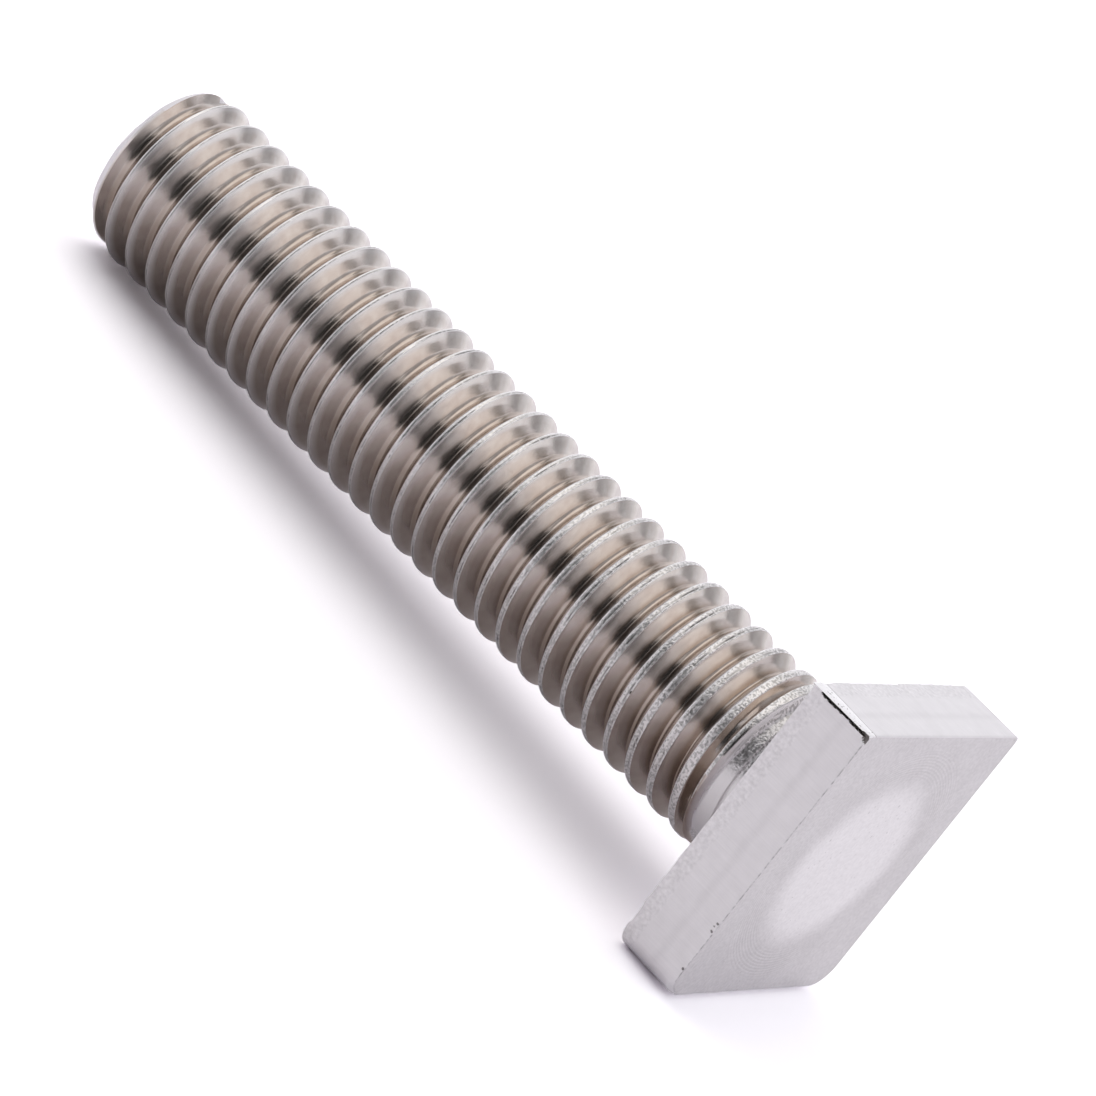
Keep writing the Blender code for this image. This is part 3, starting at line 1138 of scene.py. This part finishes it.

# Each pit is a dark spot with no hollow in the mesh: painted shade in the pit.
for pit in CREST_PITS:
    off = add_node(tree, "VectorMath", {"operation": "DISTANCE", 0: place, 1: pit}, "Value")
    in_pit = add_node(tree, "MapRange", {
        "interpolation_type": "SMOOTHSTEP", "Value": off,
        "From Min": PIT_RADIUS * PIT_SOFT[0], "From Max": PIT_RADIUS * PIT_SOFT[1],
    })
    tone = add_node(tree, "Math", {"operation": "MAXIMUM", 0: tone, 1: in_pit})
base = add_node(tree, "Mix", {
    "data_type": "RGBA", 0: tone, 6: colour(CREST_BRIGHT), 7: colour(CREST_DARK),
}, 2)
# Painted shade: the crest is darkened towards the underside, less so towards the head.
shade_left = add_node(tree, "Math", {
    "operation": "MULTIPLY_ADD", 0: towards, 1: LESS_SHADE_AT_HEAD, 2: 1.0,
})
underside_shade = add_node(tree, "Math", {"operation": "MULTIPLY", 0: shaded_underside(tree, place), 1: shade_left})
base = add_node(tree, "Mix", {
    "data_type": "RGBA", "blend_type": "MULTIPLY", 0: underside_shade, 6: base, 7: colour(CREST_UNDERSIDE_SHADE),
}, 2)
grain_part = add_node(tree, "Math", {
    "operation": "MULTIPLY_ADD", 0: towards, 1: GRAIN_MORE_AT_HEAD, 2: GRAIN_AT_TIP,
})
grain_height = add_node(tree, "Math", {"operation": "MULTIPLY", 0: grains, 1: grain_part})
work_surface(tree, base, CREST_ROUGHNESS, grains, grain_height, CREST_RELIEF)
print("pits in the crests:", len(CREST_PITS))

# %% [markdown]
# ## The plain neck
#
# Between the thread and the head the blank's own surface is left. The heading tool
# pressed one side of it smooth, and the rest kept the coarse grain of the drawn wire.
# Two materials could meet there in a hard line. One material whose grain fades out
# towards the smooth side has no line, as on the real neck.

# %% Grain of the neck
NECK_GRAIN = 0.10
NECK_GAP = (0.56, 0.42)
SMOOTH_SIDE = (0.35, -0.94, 0.0)
SMOOTH_FROM = 3.35
COARSE_FROM = 2.85

tree, place = bare_steel("plain_neck_steel")
grains = grain(tree, place, (NECK_GRAIN,) * 3, detail=1.5)
toward_smooth = add_node(tree, "VectorMath", {
    "operation": "DOT_PRODUCT", 0: place, 1: SMOOTH_SIDE,
}, "Value")
coarse = add_node(tree, "MapRange", {
    "interpolation_type": "SMOOTHSTEP",
    "Value": toward_smooth, "From Min": SMOOTH_FROM, "From Max": COARSE_FROM,
})
gaps = add_node(tree, "MapRange", {
    "interpolation_type": "SMOOTHSTEP",
    "Value": grains, "From Min": NECK_GAP[0], "From Max": NECK_GAP[1],
})
gap_tone = add_node(tree, "Math", {"operation": "MULTIPLY", 0: gaps, 1: coarse})
print("neck grain:", NECK_GRAIN, "mm")

# %% [markdown]
# ## Colours of the neck
#
# The gaps between the grains are darker, and the grains stand out as a relief. Both
# fade together, because they are the same grain. A second noise for the relief would
# leave dark gaps on top of bright grains.

# %% Plain neck
NECK_DARKER = 0.42
NECK_DARK_LEAST = 0.04
NECK_BRIGHT = "#DFDCDD"
NECK_DARK = "#4C4644"
COARSE_HEIGHT = 0.9
SMOOTH_HEIGHT = 0.1
NECK_ROUGHNESS = (0.26, 0.38)
NECK_RELIEF = 0.03

tone = add_node(tree, "Math", {
    "operation": "MULTIPLY_ADD", 0: gap_tone, 1: NECK_DARKER, 2: NECK_DARK_LEAST,
})
base = add_node(tree, "Mix", {
    "data_type": "RGBA", 0: tone, 6: colour(NECK_BRIGHT), 7: colour(NECK_DARK),
}, 2)
coarse_part = add_node(tree, "Math", {
    "operation": "MULTIPLY_ADD", 0: coarse, 1: COARSE_HEIGHT, 2: SMOOTH_HEIGHT,
})
grain_height = add_node(tree, "Math", {"operation": "MULTIPLY", 0: grains, 1: coarse_part})
work_surface(tree, base, NECK_ROUGHNESS, grains, grain_height, NECK_RELIEF)
print("relief of the neck:", NECK_RELIEF, "mm")

# %% [markdown]
# ## The cut faces
#
# The wire was cropped and chamfered at the tip, and the face under the head was
# pressed flat against the die. Both are plain matt steel with fine scratches. Noise
# that is stretched a long way along one axis gives scratches without any picture.

# %% Cropped end
SCRATCH = (2.5, 0.07, 0.5)
PATCH = 0.9
CUT_DARK = "#E2DEE1"
CUT_BRIGHT = "#F6F3F6"
CUT_ROUGHNESS = (0.52, 0.66)
CUT_RELIEF = 0.004

tree, place = bare_steel("cropped_end_steel")
scratches = grain(tree, place, SCRATCH, detail=3.0)
patches = grain(tree, place, (PATCH,) * 3, detail=3.0)
base = add_node(tree, "Mix", {
    "data_type": "RGBA", 0: patches, 6: colour(CUT_DARK), 7: colour(CUT_BRIGHT),
}, 2)
work_surface(tree, base, CUT_ROUGHNESS, patches, scratches, CUT_RELIEF)
print("scratches", SCRATCH[1], "mm wide")

# %% [markdown]
# ## The sheared sides
#
# The blade ran along the screw's axis, so hairlines run across each side from the end
# face to the face under the head, over soft clouds. Past the shear line the steel
# tore: there it is rough and mottled. Each pattern is a layer of grey, and the layers
# are added up, so that each can be judged by itself. The real hairlines are finer than
# 0.06 mm: they are drawn as coarse as they need to show.

# %% Sheared side
HAIRLINE = (0.06, 0.06, 1.6)
CLOUD = 0.7
MOTTLE = 0.16
EDGE_WANDER = 0.24
TEAR_STARTS = 0.20
TEAR_FULL = 0.06
MOTTLE_EDGE = (0.3, 0.7)
MOTTLE_TONE = (-0.07, 0.12)
HAIR_TONE = 0.13
CLOUD_TONE = 0.13

tree, place = bare_steel("sheared_side_steel")
height = add_node(tree, "SeparateXYZ", {0: place}, "Z")
hairs = grain(tree, place, HAIRLINE, detail=2.0)
clouds = grain(tree, place, (CLOUD,) * 3, detail=4.0)
mottle = grain(tree, place, (MOTTLE,) * 3, detail=3.0)
wander = add_node(tree, "Math", {
    "operation": "MULTIPLY_ADD", 0: clouds, 1: EDGE_WANDER, 2: height,
})
torn = add_node(tree, "MapRange", {
    "interpolation_type": "SMOOTHSTEP", "Value": wander,
    "From Min": TORN_STRIP + TEAR_STARTS, "From Max": TORN_STRIP + TEAR_FULL,
})
uneven_tone = add_node(tree, "MapRange", {
    "Value": mottle, "From Min": MOTTLE_EDGE[0], "From Max": MOTTLE_EDGE[1],
    "To Min": MOTTLE_TONE[0], "To Max": MOTTLE_TONE[1],
})
hair_tone = add_node(tree, "Math", {"operation": "MULTIPLY", 0: hairs, 1: HAIR_TONE})
tone = add_node(tree, "Math", {
    "operation": "MULTIPLY_ADD", 0: clouds, 1: CLOUD_TONE, 2: hair_tone,
})
tone = add_node(tree, "Math", {"operation": "MULTIPLY_ADD", 0: torn, 1: uneven_tone, 2: tone})
print("hairlines", HAIRLINE[2], "mm long")

# %% [markdown]
# ## The shear line's tone
#
# The step of the shear line is in the mesh. Along it the steel is also a little
# darker, in a soft band of height. The band could run straight, but real steel never
# tears in a straight line, so it wanders with the clouds.

# %% Tone of the shear line
LINE_LIFT = 0.12
LINE_REACH = 0.30
LINE_TONE = 0.05

off_line = add_node(tree, "Math", {
    "operation": "SUBTRACT", 0: wander, 1: SHEAR_LINE + LINE_LIFT,
})
off_line = add_node(tree, "Math", {"operation": "ABSOLUTE", 0: off_line})
shear_tone = add_node(tree, "MapRange", {
    "interpolation_type": "SMOOTHSTEP", "Value": off_line,
    "From Min": LINE_REACH, "From Max": 0.0, "To Max": LINE_TONE,
})
tone = add_node(tree, "Math", {"operation": "ADD", 0: tone, 1: shear_tone})
print("shear line at", round(SHEAR_LINE, 2), "mm")

# %% [markdown]
# ## Edges of the sheared sides
#
# On the near side a thin burr catches dirt along the front edge, and a dark line of
# painted shade follows the edge at the rear. Where the lip was folded over, its seam is a
# fine dark line. The first two are bands of height, so they need no more points in the mesh.

# %% Lines along the edges
BURR_WIDTH = 0.06
DIRT_EDGE = (0.36, 0.66)
DIRT_TONE = (0.25, 0.70)
REAR_SHADE_WIDTH = 0.04
REAR_SHADE_TONE = 0.5
SIDE_REACH = 0.2

front = add_node(tree, "MapRange", {
    "interpolation_type": "SMOOTHSTEP", "Value": height,
    "From Min": head_thickness - BURR_WIDTH, "From Max": head_thickness,
})
dirt = add_node(tree, "MapRange", {
    "Value": mottle, "From Min": DIRT_EDGE[0], "From Max": DIRT_EDGE[1],
    "To Min": DIRT_TONE[0], "To Max": DIRT_TONE[1],
})
burr = add_node(tree, "Math", {"operation": "MULTIPLY", 0: front, 1: dirt})
# Painted shade: a dark line along the rear edge.
rear = add_node(tree, "MapRange", {
    "interpolation_type": "SMOOTHSTEP", "Value": height,
    "From Min": REAR_SHADE_WIDTH, "From Max": 0.0, "To Max": REAR_SHADE_TONE,
})
edges = add_node(tree, "Math", {"operation": "MAXIMUM", 0: burr, 1: rear})
across_head = add_node(tree, "SeparateXYZ", {0: place}, "Y")
on_near_side = add_node(tree, "Math", {
    "operation": "COMPARE", 0: across_head, 1: -half_width, 2: SIDE_REACH,
})
edges = add_node(tree, "Math", {"operation": "MULTIPLY", 0: edges, 1: on_near_side})
fold = add_node(tree, "Attribute", {"attribute_name": "lap_line"}, "Fac")
edges = add_node(tree, "Math", {"operation": "MAXIMUM", 0: edges, 1: fold})
tone = add_node(tree, "Math", {"operation": "MAXIMUM", 0: tone, 1: edges})
print("burr along the front edge:", BURR_WIDTH, "mm")

# %% [markdown]
# ## A nick on the front edge
#
# Something hard struck the front edge of the near side and left a small ragged nick,
# and there is another near the lower corner. Each is a place along the edge and a
# height. Its outline is ragged because the mottle is added to the distance from it.

# %% Nicks
NICKS = ((9.60, 2.80), (9.40, 2.77), (9.22, 2.82), (11.43, 2.84))
NICK_RADIUS = 0.10
NICK_RAGGED = 0.20
NICK_SOFT = (1.8, 1.2)
NICK_SHADE = 0.9
SIDE_BRIGHT = "#F5F2F4"
SIDE_DARK = "#6E6869"
HAIR_HEIGHT = 0.5
SIDE_ROUGHNESS = (0.34, 0.46)
SIDE_RELIEF = 0.006

near_x = head_drop - half_width
# Each nick is a dark spot with no dent in the mesh: painted shade in the dent.
for along_edge, level in NICKS:
    nick = (near_x + along_edge, -half_width, level)
    off = add_node(tree, "VectorMath", {"operation": "DISTANCE", 0: place, 1: nick}, "Value")
    ragged_off = add_node(tree, "Math", {
        "operation": "MULTIPLY_ADD", 0: mottle, 1: NICK_RAGGED, 2: off,
    })
    in_nick = add_node(tree, "MapRange", {
        "interpolation_type": "SMOOTHSTEP", "Value": ragged_off, "To Max": NICK_SHADE,
        "From Min": NICK_RADIUS * NICK_SOFT[0], "From Max": NICK_RADIUS * NICK_SOFT[1],
    })
    tone = add_node(tree, "Math", {"operation": "MAXIMUM", 0: tone, 1: in_nick})
base = add_node(tree, "Mix", {
    "data_type": "RGBA", 0: tone, 6: colour(SIDE_BRIGHT), 7: colour(SIDE_DARK),
}, 2)
torn_relief = add_node(tree, "Math", {"operation": "MULTIPLY", 0: torn, 1: mottle})
relief = add_node(tree, "Math", {
    "operation": "MULTIPLY_ADD", 0: hairs, 1: HAIR_HEIGHT, 2: torn_relief,
})
work_surface(tree, base, SIDE_ROUGHNESS, mottle, relief, SIDE_RELIEF)
print("nicks:", len(NICKS))

# %% [markdown]
# ## The pressed end
#
# The punch pressed the middle of the end face smooth and bright. A darker ring lies
# round it, and outside that the face kept a grey skin with a fine grain. All of it is
# worked out from the distance to the middle, made wavy by clouds, because a clean
# circle would look drawn with a compass.

# %% Pressed end
END_GRAIN = 0.14
END_CLOUD = 1.3
WAVY = 0.5
SKIN_BAND = (-0.9, 0.8)
PAST_RING_BAND = (0.6, 2.0)
SKIN_TONE = (0.15, 0.12)
END_GRAIN_EDGE = (0.3, 0.7)
END_GRAIN_TONE = 0.14
END_CLOUD_TONE = 0.14

tree, place = bare_steel("pressed_end_steel")
middle = (head_drop, 0.0, head_thickness)
out = add_node(tree, "VectorMath", {"operation": "DISTANCE", 0: place, 1: middle}, "Value")
clouds = grain(tree, place, (END_CLOUD,) * 3, detail=3.0)
mottle = grain(tree, place, (END_GRAIN,) * 3, detail=3.0)
wavy = add_node(tree, "Math", {"operation": "MULTIPLY_ADD", 0: clouds, 1: WAVY, 2: out})
skin = add_node(tree, "MapRange", {
    "interpolation_type": "SMOOTHSTEP", "Value": wavy,
    "From Min": DISH_RADIUS + SKIN_BAND[0], "From Max": DISH_RADIUS + SKIN_BAND[1],
})
past_ring = add_node(tree, "MapRange", {
    "interpolation_type": "SMOOTHSTEP", "Value": wavy,
    "From Min": DISH_RADIUS + PAST_RING_BAND[0], "From Max": DISH_RADIUS + PAST_RING_BAND[1],
    "To Min": SKIN_TONE[0], "To Max": SKIN_TONE[1],
})
tone = add_node(tree, "Math", {"operation": "MULTIPLY", 0: skin, 1: past_ring})
grain_tone = add_node(tree, "MapRange", {
    "Value": mottle, "From Min": END_GRAIN_EDGE[0], "From Max": END_GRAIN_EDGE[1],
    "To Min": 0.0, "To Max": END_GRAIN_TONE,
})
tone = add_node(tree, "Math", {"operation": "ADD", 0: tone, 1: grain_tone})
cloud_tone = add_node(tree, "Math", {"operation": "MULTIPLY", 0: clouds, 1: skin})
tone = add_node(tree, "Math", {
    "operation": "MULTIPLY_ADD", 0: cloud_tone, 1: END_CLOUD_TONE, 2: tone,
})
print("skin begins", DISH_RADIUS + SKIN_BAND[0], "mm from the middle")

# %% [markdown]
# ## Rings and pits of the end
#
# The punch was turned on a lathe, and its fine turning rings were printed into the
# steel near two of the corners. They are 0.14 mm apart. Modelled, they would need many
# thousand faces, so a sine of the distance to the middle draws them, and they fade out
# at both ends. Small pits lie between.

# %% Turned rings and pits
RING_SPACING = 0.14
RINGS_FROM = 4.1
RINGS_TO = 5.9
RINGS_FADE = 0.5
RING_TONE = 0.05
RING_HEIGHT = 0.5
END_PIT = 0.15
PIT_EDGE = (0.24, 0.17)
PIT_SHADE = 0.4
END_BRIGHT = "#F1EEF0"
END_DARK = "#868082"
END_ROUGHNESS = (0.32, 0.45)
END_RELIEF = 0.006

phase = add_node(tree, "Math", {"operation": "MULTIPLY", 0: out, 1: math.tau / RING_SPACING})
wave = add_node(tree, "Math", {"operation": "SINE", 0: phase})
rings_in = add_node(tree, "MapRange", {
    "Value": out, "From Min": RINGS_FROM, "From Max": RINGS_FROM + RINGS_FADE,
})
rings_out = add_node(tree, "MapRange", {
    "Value": out, "From Min": RINGS_TO, "From Max": RINGS_TO - RINGS_FADE,
})
band = add_node(tree, "Math", {"operation": "MULTIPLY", 0: rings_in, 1: rings_out})
rings = add_node(tree, "Math", {"operation": "MULTIPLY", 0: wave, 1: band})
# Small pits are dark dots with no hollow in the mesh: painted shade in each pit.
pits = add_node(tree, "MapRange", {
    "interpolation_type": "SMOOTHSTEP", "Value": grain(tree, place, (END_PIT,) * 3, detail=0.0),
    "From Min": PIT_EDGE[0], "From Max": PIT_EDGE[1], "To Max": PIT_SHADE,
})
tone = add_node(tree, "Math", {"operation": "MULTIPLY_ADD", 0: rings, 1: RING_TONE, 2: tone})
tone = add_node(tree, "Math", {"operation": "MAXIMUM", 0: tone, 1: pits})
base = add_node(tree, "Mix", {
    "data_type": "RGBA", 0: tone, 6: colour(END_BRIGHT), 7: colour(END_DARK),
}, 2)
relief = add_node(tree, "Math", {
    "operation": "MULTIPLY_ADD", 0: rings, 1: RING_HEIGHT, 2: mottle,
})
work_surface(tree, base, END_ROUGHNESS, skin, relief, END_RELIEF)
print("rings every", RING_SPACING, "mm")

# %% [markdown]
# ## The folded lip
#
# The lip was smeared over the edge by the blade. It is the brightest place on the
# head, a little mottled, with a few dark specks and a fine dark seam on its far side.
# It is a finish of its own: the blade polished it smoother, and its colours are painted
# lighter than the sides', a painted highlight where the facet catches the light.

# %% Lip
SMEAR = (0.15, 0.15, 0.45)
SMEAR_TONE = 0.10
SPECK = 0.12
SPECK_EDGE = (0.34, 0.26)
LIP_BRIGHT_AND_HIGHLIGHT = "#FCFAFB"
LIP_DARK = "#8A8482"
LIP_ROUGHNESS = (0.24, 0.34)
LIP_RELIEF = 0.012

tree, place = bare_steel("folded_lip_steel")
smears = grain(tree, place, SMEAR, detail=3.0)
specks = add_node(tree, "MapRange", {
    "Value": grain(tree, place, (SPECK,) * 3, detail=1.0),
    "From Min": SPECK_EDGE[0], "From Max": SPECK_EDGE[1],
})
fold = add_node(tree, "Attribute", {"attribute_name": "lap_line"}, "Fac")
marked = add_node(tree, "Math", {"operation": "MAXIMUM", 0: specks, 1: fold})
tone = add_node(tree, "Math", {
    "operation": "MULTIPLY_ADD", 0: smears, 1: SMEAR_TONE, 2: marked,
})
# Partly painted highlight: these colours are lighter than those of the sheared sides.
base = add_node(tree, "Mix", {
    "data_type": "RGBA", 0: tone, 6: colour(LIP_BRIGHT_AND_HIGHLIGHT), 7: colour(LIP_DARK),
}, 2)
work_surface(tree, base, LIP_ROUGHNESS, smears, smears, LIP_RELIEF)
print("smears on the lip:", SMEAR[2], "mm long")

# %% [markdown]
# ## The split
#
# The split under the lip is painted dark: painted shade under the overhanging lip. Its
# shape is in the mesh already, so the finish has only to be rough and dark.

# %% Split
SPLIT_GRAIN = 0.08
SPLIT_SHADE_DARK = "#6A6462"
SPLIT_SHADE_LIGHT = "#979290"
SPLIT_ROUGHNESS = (0.45, 0.60)
SPLIT_RELIEF = 0.02

# Painted shade: a dark finish for the split under the lip.
tree, place = bare_steel("split_painted_shade_steel")
split_grain = grain(tree, place, (SPLIT_GRAIN,) * 3, detail=3.0)
base = add_node(tree, "Mix", {
    "data_type": "RGBA", 0: split_grain, 6: colour(SPLIT_SHADE_DARK), 7: colour(SPLIT_SHADE_LIGHT),
}, 2)
work_surface(tree, base, SPLIT_ROUGHNESS, split_grain, split_grain, SPLIT_RELIEF)
print("finishes:", [material.name for material in screw.data.materials])

# %% [markdown]
# ## The table
#
# The screw lies on a large flat sheet. A plane primitive would do, and four points
# typed in are as easy, and need no selected object.

# %% Floor
FLOOR_SIZE = 3000

side = FLOOR_SIZE * MM / 2
floor_mesh = bpy.data.meshes.new("floor")
floor_mesh.from_pydata(
    [(-side, -side, 0), (side, -side, 0), (side, side, 0), (-side, side, 0)], [], [(0, 1, 2, 3)]
)
floor = bpy.data.objects.new("floor", floor_mesh)
bpy.context.scene.collection.objects.link(floor)
floor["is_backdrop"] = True
print("floor:", FLOOR_SIZE, "mm square")

# %% [markdown]
# ## White paper
#
# Paper scatters light evenly, so a diffuse shader is enough. Rays that come from the
# camera, from a reflection or through glass see it lifted, up to plain white, and the
# screw's own shadow stays on it. More light would whiten it too, but would also burn
# out the steel.

# %% White paper
PAPER = "#F5F3F7"
LIGHTER_TO_CAMERA = 1.0
LIGHTER_IN_STEEL = 0.33

paper = bpy.data.materials.new("white_paper")
paper.use_nodes = True
tree = paper.node_tree
tree.nodes.clear()
by_camera = add_node(tree, "LightPath", {}, "Is Camera Ray")
by_gloss = add_node(tree, "LightPath", {}, "Is Glossy Ray")
by_glass = add_node(tree, "LightPath", {}, "Is Transmission Ray")
mirrored = add_node(tree, "Math", {"operation": "MAXIMUM", 0: by_gloss, 1: by_glass})
lighter = add_node(tree, "Math", {
    "operation": "MULTIPLY_ADD", 0: mirrored, 1: LIGHTER_IN_STEEL, 2: 1.0,
})
seen = add_node(tree, "Math", {
    "operation": "MULTIPLY_ADD", 0: by_camera, 1: LIGHTER_TO_CAMERA, 2: lighter,
})
paper_colour = add_node(tree, "VectorMath", {
    "operation": "SCALE", 0: colour(PAPER)[:3], "Scale": seen,
})
matt = add_node(tree, "BsdfDiffuse", {"Color": paper_colour})
add_node(tree, "OutputMaterial", {"Surface": matt})
floor_mesh.materials.append(paper)
print("paper:", paper.name)

# %% [markdown]
# ## The room's light
#
# An even white room lights the screw from everywhere at strength 1, at which a colour
# renders as it is written. Lamps would throw hard shadows. The white world throws only
# the soft one that a light tent gives.

# %% World
WHITE = "#FFFFFF"

world = bpy.data.worlds.new("studio")
bpy.context.scene.world = world
world.use_nodes = True
tree = world.node_tree
tree.nodes.clear()
sky = add_node(tree, "Background", {"Color": colour(WHITE), "Strength": 1.0})
add_node(tree, "OutputWorld", {"Surface": sky})
print("world:", world.name)

# %% [markdown]
# ## Cards around the table
#
# Steel shows the room more than itself. A product photographer sets white and dark
# cards around it, out of the picture, so that its form reads. They could be area
# lamps, but a lamp has the same brightness all over, and a card fades across. Each
# card here is a patch of a ball around the screw, between two azimuths and two
# elevations, and glows as bright as its corners say.

# %% One card
CARD_DISTANCE = 600
CARD_STEPS = 13


def card(name, azimuths, elevations, levels, tint):
    """A patch of a ball: the direction of each azimuth and elevation, times the distance.

    Its glow at a point is the mean of the four corners' levels, the lower two and then the
    upper two, each weighted by how near the point lies to that corner.
    """
    turn = np.radians(np.linspace(*azimuths, CARD_STEPS))[None, :]
    rise = np.radians(np.linspace(*elevations, CARD_STEPS))[:, None]
    grid = np.stack([
        np.cos(rise) * np.sin(turn),
        -np.cos(rise) * np.cos(turn),
        np.sin(rise) + 0 * turn,
    ], -1)
    index = np.arange(CARD_STEPS * CARD_STEPS).reshape(CARD_STEPS, CARD_STEPS)
    quads = np.stack([index[:-1, :-1], index[1:, :-1], index[1:, 1:], index[:-1, 1:]], -1)
    mesh = bpy.data.meshes.new(name)
    places = grid.reshape(-1, 3) * CARD_DISTANCE * MM
    mesh.from_pydata(places.tolist(), [], quads.reshape(-1, 4).tolist())
    glow_level = mesh.attributes.new("glow", "FLOAT", "POINT")
    levels_up = np.linspace(levels[:2], levels[2:], CARD_STEPS)
    levels_across = np.linspace(levels_up[:, 0], levels_up[:, 1], CARD_STEPS, axis=1)
    glow_level.data.foreach_set("value", levels_across.ravel().astype(np.float32))
    material = bpy.data.materials.new(name)
    material.use_nodes = True
    material.node_tree.nodes.clear()
    level = add_node(material.node_tree, "Attribute", {"attribute_name": "glow"}, "Fac")
    glow = add_node(material.node_tree, "Emission", {"Color": colour(tint), "Strength": level})
    add_node(material.node_tree, "OutputMaterial", {"Surface": glow})
    mesh.materials.append(material)
    new = bpy.data.objects.new(name, mesh)
    new.visible_camera = False
    bpy.context.scene.collection.objects.link(new)
    new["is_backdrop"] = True


print("points of a card:", CARD_STEPS * CARD_STEPS)

# %% [markdown]
# ## Where the cards stand
#
# Azimuth 0 is the near side of the screw, and 180 is behind it. The dark card in front
# gives the dark mark across each groove. The lit cards at the left and behind light
# the top of the thread and the head, and the dim ones at the right let the flanks
# turn darker towards the floor.

# %% Cards
COOL = "#FBFBFF"
WARM = "#FFFCF8"
for name, azimuths, elevations, levels, tint in (
    ("dark_card", (-32, 48), (1, 46), (0.03, 0.03, 0.03, 0.03), COOL),
    ("low_left_card", (-105, -32), (1, 38), (0.85, 0.15, 1.1, 0.75), COOL),
    ("low_right_card", (48, 100), (1, 34), (0.28, 0.32, 0.55, 0.85), COOL),
    ("back_shade", (149, 175), (1, 24), (0.15, 1.10, 0.15, 0.95), COOL),
    ("back_box", (175, 222), (1, 46), (1.28, 1.28, 0.75, 0.90), COOL),
    ("back_right_box", (100, 149), (1, 50), (1.0, 1.05, 1.0, 0.9), COOL),
    ("back_upper_box", (149, 175), (24, 50), (0.8, 1.0, 0.6, 0.7), COOL),
    ("back_gap", (170, 232), (48, 62), (0.40, 0.28, 0.40, 0.28), WARM),
    ("left_box", (-128, -25), (50, 86), (1.3, 1.3, 1.2, 1.2), WARM),
    ("left_upper_box", (-190, -128), (62, 86), (1.1, 1.2, 1.1, 1.2), WARM),
    ("right_card", (-22, 168), (50, 86), (0.45, 0.55, 0.45, 0.55), COOL),
):
    card(name, azimuths, elevations, levels, tint)
print("cards stand", CARD_DISTANCE, "mm away")

# %% [markdown]
# ## Camera
#
# The camera looks down at the head from the side, turned in its own plane, so that
# the screw runs from corner to corner of the picture. A long lens at some distance
# keeps the far end of the thread nearly as wide as the near end. Its place could be
# typed as coordinates, but an aim, two angles and a distance are easier to change.

# %% Camera
from mathutils import Matrix, Vector

LENS = 209.7
SENSOR = 36
NEAREST_SEEN = 0.01
AIM = (2.65, 0.76, 5.53)
DISTANCE = 244.8
AZIMUTH = math.radians(22.84)
ELEVATION = math.radians(19.30)
ROLL = math.radians(41.42)
lens = bpy.data.cameras.new("camera")
lens.lens = LENS
lens.sensor_width = SENSOR
lens.clip_start = NEAREST_SEEN
camera = bpy.data.objects.new("camera", lens)
back = Vector((
    math.sin(AZIMUTH) * math.cos(ELEVATION),
    -math.cos(AZIMUTH) * math.cos(ELEVATION),
    math.sin(ELEVATION),
))
camera.rotation_euler = (
    back.to_track_quat("Z", "Y").to_matrix() @ Matrix.Rotation(ROLL, 3, "Z")
).to_euler()
camera.location = (Vector(AIM) + back * DISTANCE) * MM
bpy.context.scene.collection.objects.link(camera)
bpy.context.scene.camera = camera
bpy.context.scene.view_settings.view_transform = "Standard"
print("camera stands", DISTANCE, "mm away")

# %% [markdown]
# ## The last look at the sizes
#
# The finer surface has to keep the box of the imported solid, so that the screw still
# lies on the floor and fits its nut. The largest change between the two boxes is printed.

# %% Compare the two boxes
visual_box = [list(corner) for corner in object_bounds()]

change = np.abs(np.array(visual_box) - np.array(cad_box)).max() / MM
print("the box changed by", change.round(4), "mm at most")
